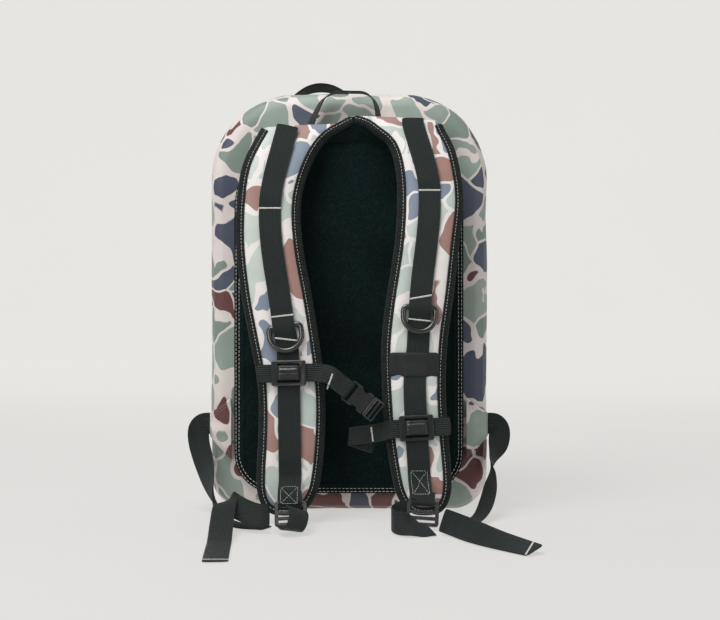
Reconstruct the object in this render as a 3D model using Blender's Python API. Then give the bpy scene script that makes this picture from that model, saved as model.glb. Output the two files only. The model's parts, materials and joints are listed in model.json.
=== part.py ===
"""Tackle backpack: a camouflage shell with a padded back, two shoulder straps and a sternum strap.

Metres, +Z up. The wearer's side faces -Y and the zipped front faces +Y.
The origin is the middle of the flat bottom of the shell, on the ground.
"""

import math

import bmesh
import bpy
from mathutils import Matrix, Vector

# Driving dimensions of the shell
WIDTH = 0.326
HEIGHT = 0.490
BACK_Y = -0.085
FRONT_Y = 0.085
WALL = 0.0035
TOP_CORNER = (0.096, 0.100)
BOTTOM_CORNER = (0.042, 0.040)
GAP = 0.0004
REACH = 0.3

# Zip and lid
ZIP_Y = 0.050
ZIP_HALF = 0.0021
LID_BOTTOM = 0.2265
LID_HINGE = Vector((0.0, 0.0868, 0.2253))

# Back pad and front pocket
PAD_THICK = 0.012
POCKET_HALF_WIDTH = 0.120
POCKET_TOP = 0.205
POCKET_BOTTOM = 0.035
POCKET_DEPTH = 0.033

POCKET_ZIP_Z = 0.176
MAIN_SLIDER_Z = 0.238
YOKE_Z = 0.4570
YOKE_Y = -0.1015
YOKE_HALF_DEEP = 0.0148
YOKE_HALF_TALL = 0.0042
YOKE_SPAN = (-0.098, 0.106)
STRAP_FOLD = Vector((0.0, -0.1175, 0.4515))

# Shoulder straps: outline stations are (height, outer edge, inner edge) from the middle plane
STRAP_TOP = 0.4435
STRAP_TIP = 0.0085
STRAP_EDGES = {
    "left": [
        (0.4485, 0.098, 0.003), (0.430, 0.108, 0.026), (0.400, 0.1213, 0.043), (0.360, 0.1265, 0.054),
        (0.310, 0.127, 0.052), (0.250, 0.120, 0.041), (0.200, 0.110, 0.033), (0.150, 0.1005, 0.0265),
        (0.100, 0.0995, 0.026), (0.050, 0.1014, 0.0305), (0.0085, 0.100, 0.040),
    ],
    "right": [
        (0.4485, 0.106, 0.009), (0.430, 0.1175, 0.0415), (0.400, 0.126, 0.0528), (0.360, 0.1305, 0.0556),
        (0.310, 0.125, 0.0523), (0.250, 0.118, 0.043), (0.200, 0.111, 0.0372), (0.150, 0.1085, 0.0377),
        (0.100, 0.1105, 0.041), (0.050, 0.1143, 0.0485), (0.0085, 0.113, 0.058),
    ],
}
STRAP_SIGN = {"left": -1.0, "right": 1.0}
STRAP_DEPTH = [
    (0.4485, -0.1010), (0.430, -0.1080), (0.400, -0.1180), (0.330, -0.1310), (0.260, -0.1385),
    (0.200, -0.1440), (0.150, -0.1500), (0.100, -0.1560), (0.050, -0.1620), (0.0085, -0.1680),
]
STRAP_THICK = 0.012
STRAP_EDGE_THICK = 0.005
STRAP_DOME = 0.016
STRAP_TIP_ROUND = 0.030
FACE_INSET = 0.010
FACE_THICK = 0.0012

# Webbing on the straps: the middle line of each, as (height, distance from the middle plane)
WEB_WIDE = 0.025
WEB_THICK = 0.0012
STERNUM_WIDE = 0.020
WEB_LINE = {
    "left": [
        (0.4485, 0.0690), (0.350, 0.0882), (0.229, 0.0735),
        (0.190, 0.0672), (0.145, 0.0655), (0.036, 0.0634),
    ],
    "right": [
        (0.4485, 0.0735), (0.3705, 0.0912), (0.250, 0.0805),
        (0.196, 0.0775), (0.150, 0.0735), (0.036, 0.0790),
    ],
}
TACKS = {"left": (0.350, 0.229, 0.203), "right": (0.3705, 0.250, 0.2245)}
LOOSE_RUN = {"left": (0.190, 0.058), "right": (0.156, 0.058)}
LOOSE_LIFT = 0.0032
RING_BOW = 0.0060
WEB_BOW = 0.0022
WEB_END = 0.036

# Rings and sliders
RING_WIRE = 0.0025
RING_HALF = 0.0175
RING_LEG = 0.007
RING_LEAN = -10.5
SLIDER_HEIGHT = {"left": 0.1633, "right": 0.1035}

# Blank patch on the right strap
PATCH_HEIGHTS = (0.1865, 0.1615)
PATCH_EDGES = (0.1015, 0.0445)

# Ladder-locks at the strap ends, and the webbing paths as (point, direction across the webbing)
BAR_TURN = 0.0032
LADDER_TOP_BAR = 0.0124
LADDER_PLACE = {"left": Vector((-0.0610, -0.2120, 0.0175)), "right": Vector((0.0800, -0.2120, 0.0175))}
LADDER_TURN = {"left": 0.10, "right": -0.15}
LOWER_PATH = {
    "left": [
        ((-0.1685, -0.0790, 0.1022), (0, 0, 1)), ((-0.1715, -0.0795, 0.1020), (0, 0, 1)),
        ((-0.1760, -0.0825, 0.0960), (-0.62, 0, 0.78)), ((-0.1750, -0.0870, 0.0800), (-1, 0.15, 0.1)),
        ((-0.1700, -0.0930, 0.0640), (-0.95, 0.3, 0)), ((-0.1640, -0.1030, 0.0470), (-0.75, 0.65, -0.1)),
        ((-0.1570, -0.1200, 0.0320), (-0.4, 0.85, -0.3)), ((-0.1480, -0.1460, 0.0190), (0.1, 0.9, -0.42)),
        ((-0.1370, -0.1720, 0.0085), (0.5, 0.8, -0.3)), ((-0.1200, -0.1920, 0.0022), (0.6, 0.8, 0)),
        ((-0.0860, -0.2080, 0.0014), (0.2, 1, 0)),
    ],
    "right": [
        ((0.1685, -0.0790, 0.1022), (0, 0, 1)), ((0.1715, -0.0795, 0.1020), (0, 0, 1)),
        ((0.1760, -0.0825, 0.0960), (0.62, 0, 0.78)), ((0.1748, -0.0870, 0.0800), (0.95, 0.25, 0.15)),
        ((0.1665, -0.0940, 0.0610), (0.4, 0.92, -0.05)), ((0.1635, -0.1060, 0.0420), (-0.3, 0.93, -0.15)),
        ((0.1585, -0.1270, 0.0230), (-0.65, 0.7, -0.3)), ((0.1480, -0.1550, 0.0080), (-0.65, 0.72, -0.22)),
        ((0.1290, -0.1860, 0.0020), (-0.5, 0.87, 0)), ((0.1060, -0.2080, 0.0014), (-0.2, 1, 0)),
    ],
}
TAIL_PATH = {
    "left": [
        ((-0.0820, -0.2330, 0.0190), (0, 0.1, 1)), ((-0.0920, -0.2345, 0.0190), (0, 0.1, 1)),
        ((-0.1030, -0.2300, 0.0210), (0, 0.2, 1)), ((-0.1200, -0.2150, 0.0260), (0.3, 0.3, 0.9)),
        ((-0.1290, -0.2040, 0.0300), (0.8, 0.3, 0.5)), ((-0.1310, -0.2200, 0.0290), (1, 0, 0.1)),
        ((-0.1310, -0.2500, 0.0150), (1, 0, 0)), ((-0.1290, -0.2900, 0.0030), (1, 0, 0)),
        ((-0.1260, -0.3400, 0.0012), (1, 0, 0)), ((-0.1225, -0.3880, 0.0012), (1, 0, 0)),
    ],
    "right": [
        ((0.0990, -0.2360, 0.0150), (0.1, 0.4, 0.9)), ((0.1060, -0.2460, 0.0140), (0.15, 0.42, 0.88)),
        ((0.1150, -0.2620, 0.0128), (0.2, 0.47, 0.86)), ((0.1280, -0.2840, 0.0110), (0.27, 0.6, 0.75)),
        ((0.1490, -0.3130, 0.0080), (0.37, 0.76, 0.53)), ((0.1820, -0.3520, 0.0046), (0.42, 0.85, 0.30)),
    ],
}

# Sternum buckle
BUCKLE_PLACE = Vector((-0.0010, -0.1790, 0.1490))
BUCKLE_TILT = math.radians(38.0)


def clear_scene():
    for item in list(bpy.data.objects):
        bpy.data.objects.remove(item, do_unlink=True)


def material(name, colour, roughness, metallic=0.0):
    made = bpy.data.materials.new(name)
    made.use_nodes = True
    shader = made.node_tree.nodes["Principled BSDF"]
    shader.inputs["Base Color"].default_value = (*colour, 1.0)
    shader.inputs["Roughness"].default_value = roughness
    shader.inputs["Metallic"].default_value = metallic
    made.diffuse_color = (*colour, 1.0)
    return made


def camo_cloth(name):
    return material(name, (0.42, 0.46, 0.41), 0.55)


def black_cloth(name):
    return material(name, (0.012, 0.014, 0.014), 0.85)


def webbing_cloth(name):
    return material(name, (0.035, 0.037, 0.037), 0.80)


def black_plastic(name):
    return material(name, (0.020, 0.020, 0.019), 0.40)


def body(name, points, faces, finish, smooth_angle=40.0):
    """A closed body from its points and faces, facing out, shaded smooth up to an angle."""
    mesh = bpy.data.meshes.new(name)
    mesh.from_pydata([tuple(p) for p in points], [], faces)
    builder = bmesh.new()
    builder.from_mesh(mesh)
    bmesh.ops.recalc_face_normals(builder, faces=builder.faces)
    builder.to_mesh(mesh)
    builder.free()
    mesh.shade_smooth()
    mesh.set_sharp_from_angle(angle=math.radians(smooth_angle))
    mesh.materials.append(finish)
    made = bpy.data.objects.new(name, mesh)
    bpy.context.scene.collection.objects.link(made)
    return made


def loft(name, rings, finish, smooth_angle=40.0):
    """A closed body through rings of equal count, its two end rings filled with fans."""
    count = len(rings[0])
    points = [Vector(p) for ring in rings for p in ring]
    faces = []
    for row in range(len(rings) - 1):
        for step in range(count):
            beside = (step + 1) % count
            low = row * count
            high = low + count
            faces.append((low + step, low + beside, high + beside, high + step))
    for row in (0, len(rings) - 1):
        start = row * count
        middle = sum((points[start + step] for step in range(count)), Vector()) / count
        points.append(middle)
        hub = len(points) - 1
        for step in range(count):
            faces.append((start + step, start + (step + 1) % count, hub))
    return body(name, points, faces, finish, smooth_angle)


def smooth_line(stations, value):
    """Smooth interpolation through stations (place, value, ...), places falling or rising."""
    places = [station[0] for station in stations]
    rising = places[-1] > places[0]
    value = min(max(value, min(places)), max(places))
    for index in range(len(stations) - 1):
        near, far = places[index], places[index + 1]
        inside = near <= value <= far if rising else far <= value <= near
        if inside or index == len(stations) - 2:
            break
    before = stations[max(index - 1, 0)]
    start = stations[index]
    end = stations[index + 1]
    after = stations[min(index + 2, len(stations) - 1)]
    span = end[0] - start[0]
    t = min(max((value - start[0]) / span, 0.0), 1.0)
    answer = []
    for column in range(1, len(start)):
        leave = span * (end[column] - before[column]) / (end[0] - before[0])
        arrive = span * (after[column] - start[column]) / (after[0] - start[0])
        answer.append(
            (2 * t**3 - 3 * t**2 + 1) * start[column]
            + (t**3 - 2 * t**2 + t) * leave
            + (3 * t**2 - 2 * t**3) * end[column]
            + (t**3 - t**2) * arrive
        )
    return answer


def ribbon(name, stations, wide, thick, finish, steps=5):
    """Flat webbing through stations (point, direction across its width)."""
    table = [
        (float(index), *point, *Vector(across).normalized())
        for index, (point, across) in enumerate(stations)
    ]
    total = (len(stations) - 1) * steps
    middle = []
    across = []
    for step in range(total + 1):
        row = smooth_line(table, step / steps)
        middle.append(Vector(row[0:3]))
        across.append(Vector(row[3:6]).normalized())
    rings = []
    for step in range(total + 1):
        ahead = middle[min(step + 1, total)] - middle[max(step - 1, 0)]
        face = ahead.cross(across[step]).normalized()
        side = face.cross(ahead).normalized()
        centre = middle[step]
        half = side * wide / 2
        out = face * thick / 2
        rings.append([centre - half - out, centre + half - out, centre + half + out, centre - half + out])
    return loft(name, rings, finish)


def tube_loop(name, path, radius, finish, sides=12):
    """A round wire bent along a closed flat path."""
    count = len(path)
    centre = sum(path, Vector()) / count
    normal = (path[1] - path[0]).cross(centre - path[0]).normalized()
    points = []
    for step in range(count):
        ahead = (path[(step + 1) % count] - path[step - 1]).normalized()
        side = ahead.cross(normal).normalized()
        for turn in range(sides):
            angle = 2 * math.pi * turn / sides
            points.append(path[step] + side * radius * math.cos(angle) + normal * radius * math.sin(angle))
    faces = []
    for step in range(count):
        following = (step + 1) % count
        near = step * sides
        far = following * sides
        for turn in range(sides):
            beside = (turn + 1) % sides
            faces.append((near + turn, near + beside, far + beside, far + turn))
    return body(name, points, faces, finish)


def block(name, low, high, finish):
    """A plain box between two corners."""
    x0, y0, z0 = low
    x1, y1, z1 = high
    points = [
        (x0, y0, z0), (x1, y0, z0), (x1, y1, z0), (x0, y1, z0),
        (x0, y0, z1), (x1, y0, z1), (x1, y1, z1), (x0, y1, z1),
    ]
    faces = [(0, 3, 2, 1), (4, 5, 6, 7), (0, 1, 5, 4), (1, 2, 6, 5), (2, 3, 7, 6), (3, 0, 4, 7)]
    return body(name, points, faces, finish, 30.0)


def rounded_block(name, half_x, half_y, low, high, corner, roll, finish):
    """A moulded block on local X and Y with round corners and rolled upper and lower edges."""
    levels = [(low, roll), (low + roll * 0.3, roll * 0.3), (low + roll, 0.0)]
    levels += [(high - roll, 0.0), (high - roll * 0.3, roll * 0.3), (high, roll)]
    rings = []
    for z, inset in levels:
        ring = []
        for side, up, start in ((1, -1, -90.0), (1, 1, 0.0), (-1, 1, 90.0), (-1, -1, 180.0)):
            bend = corner - inset * 0.5
            x = side * (half_x - inset - bend)
            y = up * (half_y - inset - bend)
            for step in range(5):
                angle = math.radians(start + 22.5 * step)
                ring.append((x + bend * math.cos(angle), y + bend * math.sin(angle), z))
        rings.append(ring)
    return loft(name, rings, finish, 50.0)


def shift(target, offset):
    """Move the points of a piece within its own frame."""
    target.data.transform(Matrix.Translation(Vector(offset)))
    return target


def carve(target, tool, operation="DIFFERENCE"):
    """Cut or join with a hidden tool that stays in the file as a wire guide."""
    tool.hide_render = True
    tool.display_type = "WIRE"
    tool.parent = target
    change = target.modifiers.new(operation.title(), "BOOLEAN")
    change.operation = operation
    change.object = tool
    change.solver = "EXACT"


def place(target, frame):
    target.matrix_world = frame


def pivot(name, point, *pieces):
    """An empty on a joint's axis, carrying the pieces that turn about it."""
    empty = bpy.data.objects.new(name, None)
    empty.location = point
    bpy.context.scene.collection.objects.link(empty)
    for piece in pieces:
        piece.parent = empty
        piece.matrix_parent_inverse = Matrix.Translation(-Vector(point))


# ---------------------------------------------------------------- shell


def arch_outline(inset, steps=9):
    """Points of the shell outline in X and Z, counter-clockwise from the bottom right."""
    half = WIDTH / 2 - inset
    bottom = inset
    top = HEIGHT - inset
    low = (BOTTOM_CORNER[0] - inset * 0.6, BOTTOM_CORNER[1] - inset * 0.6)
    high = (TOP_CORNER[0] - inset * 0.6, TOP_CORNER[1] - inset * 0.6)
    corners = [
        (half - low[0], bottom + low[1], low, -90.0),
        (half - high[0], top - high[1], high, 0.0),
        (-half + high[0], top - high[1], high, 90.0),
        (-half + low[0], bottom + low[1], low, 180.0),
    ]
    points = []
    for x, z, radius, start in corners:
        for step in range(steps):
            angle = math.radians(start + 90.0 * step / (steps - 1))
            points.append((x + radius[0] * math.cos(angle), z + radius[1] * math.sin(angle)))
    return points


def edge_inset(y):
    """How far the outline draws in at a depth: the rolled edges at the back and the front."""
    roll = 0.022
    back = max(0.0, 1.0 - (y - BACK_Y) / roll)
    front = max(0.0, 1.0 - (FRONT_Y - y) / roll)
    draw = max(back, front)
    return 0.017 * (1.0 - math.sqrt(max(0.0, 1.0 - draw * draw)))


def shell_solid(name, inset, back, front, finish):
    shares = (0.0, 0.015, 0.045, 0.09, 0.13, 0.87, 0.91, 0.955, 0.985, 1.0)
    depths = [back + (front - back) * share for share in shares]
    rings = []
    for y in depths:
        scaled = BACK_Y + (y - back) / (front - back) * (FRONT_Y - BACK_Y)
        rings.append([(x, y, z) for x, z in arch_outline(inset + edge_inset(scaled))])
    return loft(name, rings, finish, 30.0)


def shell_body():
    """The coated cloth tub: back, sides, bottom and the lower front, open where the lid sits."""
    finish = camo_cloth("camo shell")
    made = shell_solid("shell_body", 0.0, BACK_Y, FRONT_Y, finish)
    carve(made, shell_solid("cut_shell_room", WALL, BACK_Y + WALL, FRONT_Y - WALL, finish))
    low = (-REACH, ZIP_Y - ZIP_HALF - GAP, LID_BOTTOM - 0.0025)
    carve(made, block("cut_shell_front", low, (REACH, REACH, 2 * REACH), finish))
    return made


def front_lid(lid_zip):
    """The upper front that folds down when the zip is open, with its half of the zip."""
    finish = camo_cloth("camo lid")
    made = shell_solid("front_lid", 0.0, BACK_Y, FRONT_Y, finish)
    carve(made, shell_solid("cut_lid_room", WALL, BACK_Y + WALL, FRONT_Y - WALL, finish))
    low = (-REACH, ZIP_Y + ZIP_HALF + GAP, LID_BOTTOM)
    carve(made, block("keep_lid", low, (REACH, REACH, 2 * REACH), finish), "INTERSECT")
    pivot("lid_hinge_line", LID_HINGE, made, lid_zip)


def zip_half(name, near, far):
    """One half of the main zip, an arch from side to side over the top."""
    finish = black_cloth(name + " rubber")
    corner_steps = 14
    over_the_top = slice(corner_steps, 3 * corner_steps)
    outer = arch_outline(0.0006, corner_steps)[over_the_top]
    inner = arch_outline(0.0024, corner_steps)[over_the_top]
    foot = LID_BOTTOM + 0.0015
    outer = [(outer[0][0], foot)] + outer + [(outer[-1][0], foot)]
    inner = [(inner[0][0], foot)] + inner + [(inner[-1][0], foot)]
    rings = []
    for (xo, zo), (xi, zi) in zip(outer, inner):
        rings.append([(xo, near, zo), (xo, far, zo), (xi, far, zi), (xi, near, zi)])
    return loft(name, rings, finish)


def main_zip():
    """Both halves of the main zip; the lid's half is handed back."""
    half_seam = 0.00015
    zip_half("main_zip_shell_side", ZIP_Y - ZIP_HALF, ZIP_Y - half_seam)
    return zip_half("main_zip_lid_side", ZIP_Y + half_seam, ZIP_Y + ZIP_HALF)


def zip_slider(name, frame):
    """A slider body: a rounded block with a bridge standing on it. Local X runs along the zip."""
    finish = material(name + " metal", (0.10, 0.10, 0.10), 0.35, 0.9)
    made = rounded_block(name, 0.0065, 0.0045, 0.0, 0.0026, 0.0028, 0.0006, finish)
    bridge = block("join_" + name, (-0.0045, -0.0012, 0.0020), (0.0045, 0.0012, 0.0062), finish)
    carve(made, bridge, "UNION")
    hole = block("cut_" + name, (-0.0028, -0.003, 0.0029), (0.0028, 0.003, 0.0047), finish)
    carve(made, hole)
    place(made, frame)
    return made


def zip_pull(name, frame, length=0.034):
    """A pull tab: a wire eye through the slider bridge that widens into a moulded grip."""
    finish = black_plastic(name + " plastic")
    half = (length + 0.0006) / 2
    made = rounded_block(name, half, 0.0026, -0.0006, 0.0006, 0.0010, 0.0002, finish)
    shift(made, (half - 0.0006, 0.0, 0.0))
    eye = block("cut_" + name, (0.0006, -0.0015, -0.01), (0.0064, 0.0015, 0.01), finish)
    carve(made, eye)
    place(made, frame)
    return made


def frame_from(origin, x_axis, z_axis):
    """A placing frame from where it stands, its X direction and the direction it faces."""
    z = Vector(z_axis).normalized()
    x = Vector(x_axis).normalized()
    y = z.cross(x).normalized()
    x = y.cross(z)
    turned = Matrix((x, y, z)).transposed().to_4x4()
    return Matrix.Translation(Vector(origin)) @ turned


def frame_sheet():
    """The stiff plastic sheet inside, flat against the back wall."""
    finish = material("sheet plastic", (0.55, 0.56, 0.57), 0.5)
    y = BACK_Y + WALL + GAP
    shape = [(x * 0.76, 0.035 + z * 0.80) for x, z in arch_outline(0.0, 7)]
    rings = [[(x, y + step, z) for x, z in shape] for step in (0.0, 0.0016)]
    return loft("frame_sheet", rings, finish, 30.0)


def back_panel():
    """The padded panel against the wearer's back."""
    finish = black_cloth("back panel cloth")
    profile = [(0.0, 0.0015), (0.0015, 0.0), (0.006, 0.0)]
    profile += [(0.0095, 0.002), (0.0114, 0.006), (PAD_THICK, 0.013)]
    rings = []
    for depth, inset in profile:
        ring = []
        for x, z in panel_outline(inset):
            ring.append((x, BACK_Y - GAP - depth, z))
        rings.append(ring)
    return loft("back_panel", rings, finish)


def panel_outline(inset, steps=9):
    half = 0.1345 - inset
    low, high = 0.021 + inset, 0.4435 - inset
    corners = [
        (0.046, half - 0.046, low + 0.046, -90.0),
        (0.085, half - 0.085, high - 0.085, 0.0),
        (0.085, -half + 0.085, high - 0.085, 90.0),
        (0.046, -half + 0.046, low + 0.046, 180.0),
    ]
    points = []
    for radius, x, z, start in corners:
        for step in range(steps):
            angle = math.radians(start + 90.0 * step / (steps - 1))
            points.append((x + radius * math.cos(angle), z + radius * math.sin(angle)))
    return points


def front_pocket():
    """The box pocket on the lower front, its back open against the shell and a slot for its zip."""
    finish = camo_cloth("camo pocket")
    near = FRONT_Y + GAP
    outer = ((0.0, 0.0), (0.70, 0.0), (0.87, 0.002), (0.96, 0.006), (1.0, 0.012))
    inner = ((-0.10, 0.003), (0.66, 0.003), (0.80, 0.006), (0.90, 0.014))
    skin = [pocket_ring(near + POCKET_DEPTH * share, inset) for share, inset in outer]
    room = [pocket_ring(near + POCKET_DEPTH * share, inset) for share, inset in inner]
    made = loft("front_pocket", skin, finish)
    carve(made, loft("cut_pocket_room", room, finish))
    low = (-0.094, near + POCKET_DEPTH * 0.8, POCKET_ZIP_Z - 0.003)
    high = (0.094, 0.2, POCKET_ZIP_Z + 0.003)
    carve(made, block("cut_pocket_slot", low, high, finish))
    return made


def pocket_ring(y, inset):
    """The pocket outline at one depth, a rounded rectangle."""
    corner = 0.028 - inset * 0.5
    middle = (POCKET_TOP + POCKET_BOTTOM) / 2
    tall = (POCKET_TOP - POCKET_BOTTOM) / 2
    points = []
    for side, up, start in ((1, -1, -90.0), (1, 1, 0.0), (-1, 1, 90.0), (-1, -1, 180.0)):
        x = side * (POCKET_HALF_WIDTH - inset - corner)
        z = middle + up * (tall - inset - corner)
        for step in range(7):
            angle = math.radians(start + 15.0 * step)
            points.append((x + corner * math.cos(angle), y, z + corner * math.sin(angle)))
    return points


def pocket_zip():
    """The zip tape over the pocket slot, its slider and its pull."""
    face = FRONT_Y + GAP + POCKET_DEPTH + GAP
    finish = black_cloth("pocket zip cloth")
    seam = GAP / 2
    for name, low, high in (("upper", seam, 0.007), ("lower", -0.007, -seam)):
        corners = ((-0.098, face, POCKET_ZIP_Z + low), (0.098, face + 0.0012, POCKET_ZIP_Z + high))
        block(f"pocket_zip_{name}", *corners, finish)
    front = face + 0.0012 + GAP
    zip_slider("pocket_zip_slider", frame_from((-0.086, front, POCKET_ZIP_Z), (1, 0, 0), (0, 1, 0)))
    zip_pull("pocket_zip_pull", frame_from((-0.086, front + 0.0038, POCKET_ZIP_Z), (1, 0, 0), (0, 1, 0)))


def main_slider():
    """The main zip slider, parked at the closed end low on the right side, and its pull."""
    side = WIDTH / 2 + GAP
    zip_slider("main_zip_slider", frame_from((side, ZIP_Y, MAIN_SLIDER_Z), (0, 0, 1), (1, 0, 0)))
    zip_pull("main_zip_pull", frame_from((side + 0.0038, ZIP_Y, MAIN_SLIDER_Z), (0, 0, -1), (1, 0, 0)))


# ---------------------------------------------------------------- shoulder straps


def strap_edges(side, z):
    """Outer and inner edge of a strap at a height, the tip drawn in to a round end."""
    outer, inner = smooth_line(STRAP_EDGES[side], z)
    share = 1.0 - (z - STRAP_TIP) / STRAP_TIP_ROUND
    if share > 0.0:
        draw = 0.32 * (outer - inner) * (1.0 - math.sqrt(max(0.0, 1.0 - share * share)))
        outer -= draw
        inner += draw
    return outer, inner


def strap_point(side, x, z, lift):
    """A point over a strap: distance from the middle plane, height, and lift off its back."""
    depth = smooth_line(STRAP_DEPTH, z)[0]
    slope = (smooth_line(STRAP_DEPTH, z + 0.002)[0] - smooth_line(STRAP_DEPTH, z - 0.002)[0]) / 0.004
    out = Vector((0.0, -1.0, slope)).normalized()
    return Vector((STRAP_SIGN[side] * x, depth, z)) + out * lift


def strap_out(z):
    """The direction a strap faces at a height."""
    slope = (smooth_line(STRAP_DEPTH, z + 0.002)[0] - smooth_line(STRAP_DEPTH, z - 0.002)[0]) / 0.004
    return Vector((0.0, -1.0, slope)).normalized()


def pad_lift(side, x, z):
    """Thickness of the foam at a place: full in the middle, thin at the bound edges."""
    outer, inner = strap_edges(side, z)
    near = min(outer - x, x - inner, z - STRAP_TIP)
    share = min(max(near / STRAP_DOME, 0.0), 1.0)
    return STRAP_EDGE_THICK + (STRAP_THICK - STRAP_EDGE_THICK) * math.sqrt(1.0 - (1.0 - share) ** 2)


def strap_rows():
    """Heights of the cross-sections, closer together at the round tip."""
    rows = [STRAP_TOP - (STRAP_TOP - 0.045) * step / 24 for step in range(24)]
    rows += [STRAP_TIP + 0.0365 * (1.0 - step / 7) ** 1.6 for step in range(8)]
    return rows


def strap_pad(side):
    """The foam pad with its black mesh back and bound edge."""
    rings = []
    spread = (0.0, 0.04, 0.10, 0.18, 0.28, 0.72, 0.82, 0.90, 0.96, 1.0)
    for z in strap_rows():
        outer, inner = strap_edges(side, z)
        across = [outer + (inner - outer) * share for share in spread]
        ring = [strap_point(side, x, z, pad_lift(side, x, z)) for x in across]
        ring += [strap_point(side, inner, z, 0.0012)]
        ring += [strap_point(side, outer + (inner - outer) * share, z, 0.0) for share in (0.97, 0.03)]
        ring += [strap_point(side, outer, z, 0.0012)]
        rings.append(ring)
    return loft(f"strap_pad_{side}", rings, black_cloth(f"strap pad mesh {side}"), 50.0)


def strap_face(side):
    """The camouflage cloth sewn over the front of a pad, inside the binding."""
    rings = []
    for z in strap_rows():
        if z < STRAP_TIP + 0.008:
            continue
        outer, inner = strap_edges(side, z)
        outer -= FACE_INSET
        inner += FACE_INSET
        across = [outer + (inner - outer) * share for share in (0.0, 0.08, 0.18, 0.82, 0.92, 1.0)]
        low = [strap_point(side, x, z, pad_lift(side, x, z) + GAP) for x in across]
        high = [strap_point(side, x, z, pad_lift(side, x, z) + GAP + FACE_THICK) for x in reversed(across)]
        rings.append(low + high)
    return loft(f"strap_face_{side}", rings, camo_cloth(f"camo strap {side}"), 50.0)


def web_bow(side, z):
    """How far the strap webbing stands off the face: loose between its tacks, most over the ring bar."""
    high, middle, low = TACKS[side]
    bows = [(STRAP_TOP + 0.05, high, WEB_BOW), (high, middle, WEB_BOW), (middle, low, RING_BOW)]
    for top, bottom, rise in bows:
        if bottom < z < top:
            share = (z - bottom) / (top - bottom)
            return rise * math.sin(math.pi * share) ** 0.7
    top, bottom = LOOSE_RUN[side]
    ramp = 0.010
    if bottom < z < top:
        share = min((top - z) / ramp, (z - bottom) / ramp, 1.0)
        return LOOSE_LIFT * (3 * share**2 - 2 * share**3)
    return 0.0


def web_x(side, z):
    return smooth_line(WEB_LINE[side], z)[0]


def face_lift():
    """Lift of the front of the face cloth where the pad has its full thickness."""
    return STRAP_THICK + GAP + FACE_THICK


def web_frame(side, z, lift):
    """A placing frame on the strap webbing: X to the right, Y up along the strap, Z out of it."""
    here = strap_point(side, web_x(side, z), z, lift)
    ahead = strap_point(side, web_x(side, z + 0.01), z + 0.01, lift)
    behind = strap_point(side, web_x(side, z - 0.01), z - 0.01, lift)
    up = (ahead - behind).normalized()
    out = strap_out(z)
    right = up.cross(out).normalized()
    return frame_from(here, right, out)


def hairpin(radius, arriving, leaving):
    """Webbing bent round a bar: (along, out) of the bar middle, arriving in front and leaving behind."""
    turns = [(arriving, radius), (0.35 * arriving, radius)]
    for step in range(7):
        angle = math.radians(90.0 + 30.0 * step)
        turns.append((radius * math.cos(angle), radius * math.sin(angle)))
    turns += [(0.5 * leaving, -radius), (leaving, -radius)]
    return turns


def strap_webbing(side):
    """The webbing down the middle of a strap, tacked in three places, its end through the ladder-lock."""
    rows = [STRAP_TOP - 0.001 - (STRAP_TOP - 0.001 - WEB_END) * step / 60 for step in range(61)]
    stations = []
    for z in rows:
        lift = face_lift() + GAP + WEB_THICK / 2 + web_bow(side, z)
        frame = web_frame(side, z, lift)
        stations.append((frame.translation, frame.col[0].to_3d()))
    lock = ladder_frame(side)
    for z, rise in ((0.0315, 0.0020), (0.0285, 0.0060)):
        leaving = strap_point(side, web_x(side, z), z, face_lift() + GAP + WEB_THICK / 2 + rise)
        stations.append((leaving, frame.col[0].to_3d()))
    for along, out in hairpin(BAR_TURN, 0.014, 0.010):
        stations.append((lock @ Vector((0.0, LADDER_TOP_BAR + along, out)), lock.col[0].to_3d()))
    finish = webbing_cloth(f"strap webbing {side}")
    return ribbon(f"strap_webbing_{side}", stations, WEB_WIDE, WEB_THICK, finish, 1)


def d_ring(side):
    """A D-shaped ring whose bar is caught under the webbing between the two lower tacks."""
    top, bottom = TACKS[side][1], TACKS[side][2]
    z = (top + bottom) / 2
    frame = web_frame(side, z, face_lift() + GAP + RING_WIRE)
    lean = Matrix.Rotation(math.radians(RING_LEAN), 4, "X")
    path = []
    corner = 0.0045
    for start, cx in ((90.0, -RING_HALF + corner), (0.0, RING_HALF - corner)):
        for step in range(5):
            angle = math.radians(start + 90.0 - 90.0 * step / 4)
            path.append(Vector((cx + corner * math.cos(angle), -corner + corner * math.sin(angle), 0.0)))
    for step in range(17):
        angle = math.radians(-180.0 * step / 16)
        path.append(Vector((RING_HALF * math.cos(angle), -RING_LEG + RING_HALF * math.sin(angle), 0.0)))
    finish = material(f"d ring nylon {side}", (0.016, 0.020, 0.019), 0.30)
    turned = frame @ lean
    made = tube_loop(f"d_ring_{side}", [turned @ point for point in path], RING_WIRE, finish)
    pivot(f"ring_line_{side}", frame.translation, made)
    return made


def name_patch():
    """A plain sewn patch over the right strap and its webbing, left blank."""
    rings = []
    side = "right"
    top, bottom = PATCH_HEIGHTS
    outer, inner = PATCH_EDGES
    for step in range(25):
        x = outer + (inner - outer) * step / 24
        ring = []
        for z, layer in ((top, 0.0), (bottom, 0.0), (bottom, 0.0010), (top, 0.0010)):
            over = min(max((WEB_WIDE / 2 + 0.0045 - abs(x - web_x(side, z))) / 0.004, 0.0), 1.0)
            rise = pad_lift(side, x, z) + GAP + FACE_THICK + GAP + (WEB_THICK + GAP) * over
            ring.append(strap_point(side, x, z, rise + layer))
        rings.append(ring)
    return loft("blank_patch", rings, black_cloth("patch rubber"))


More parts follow.
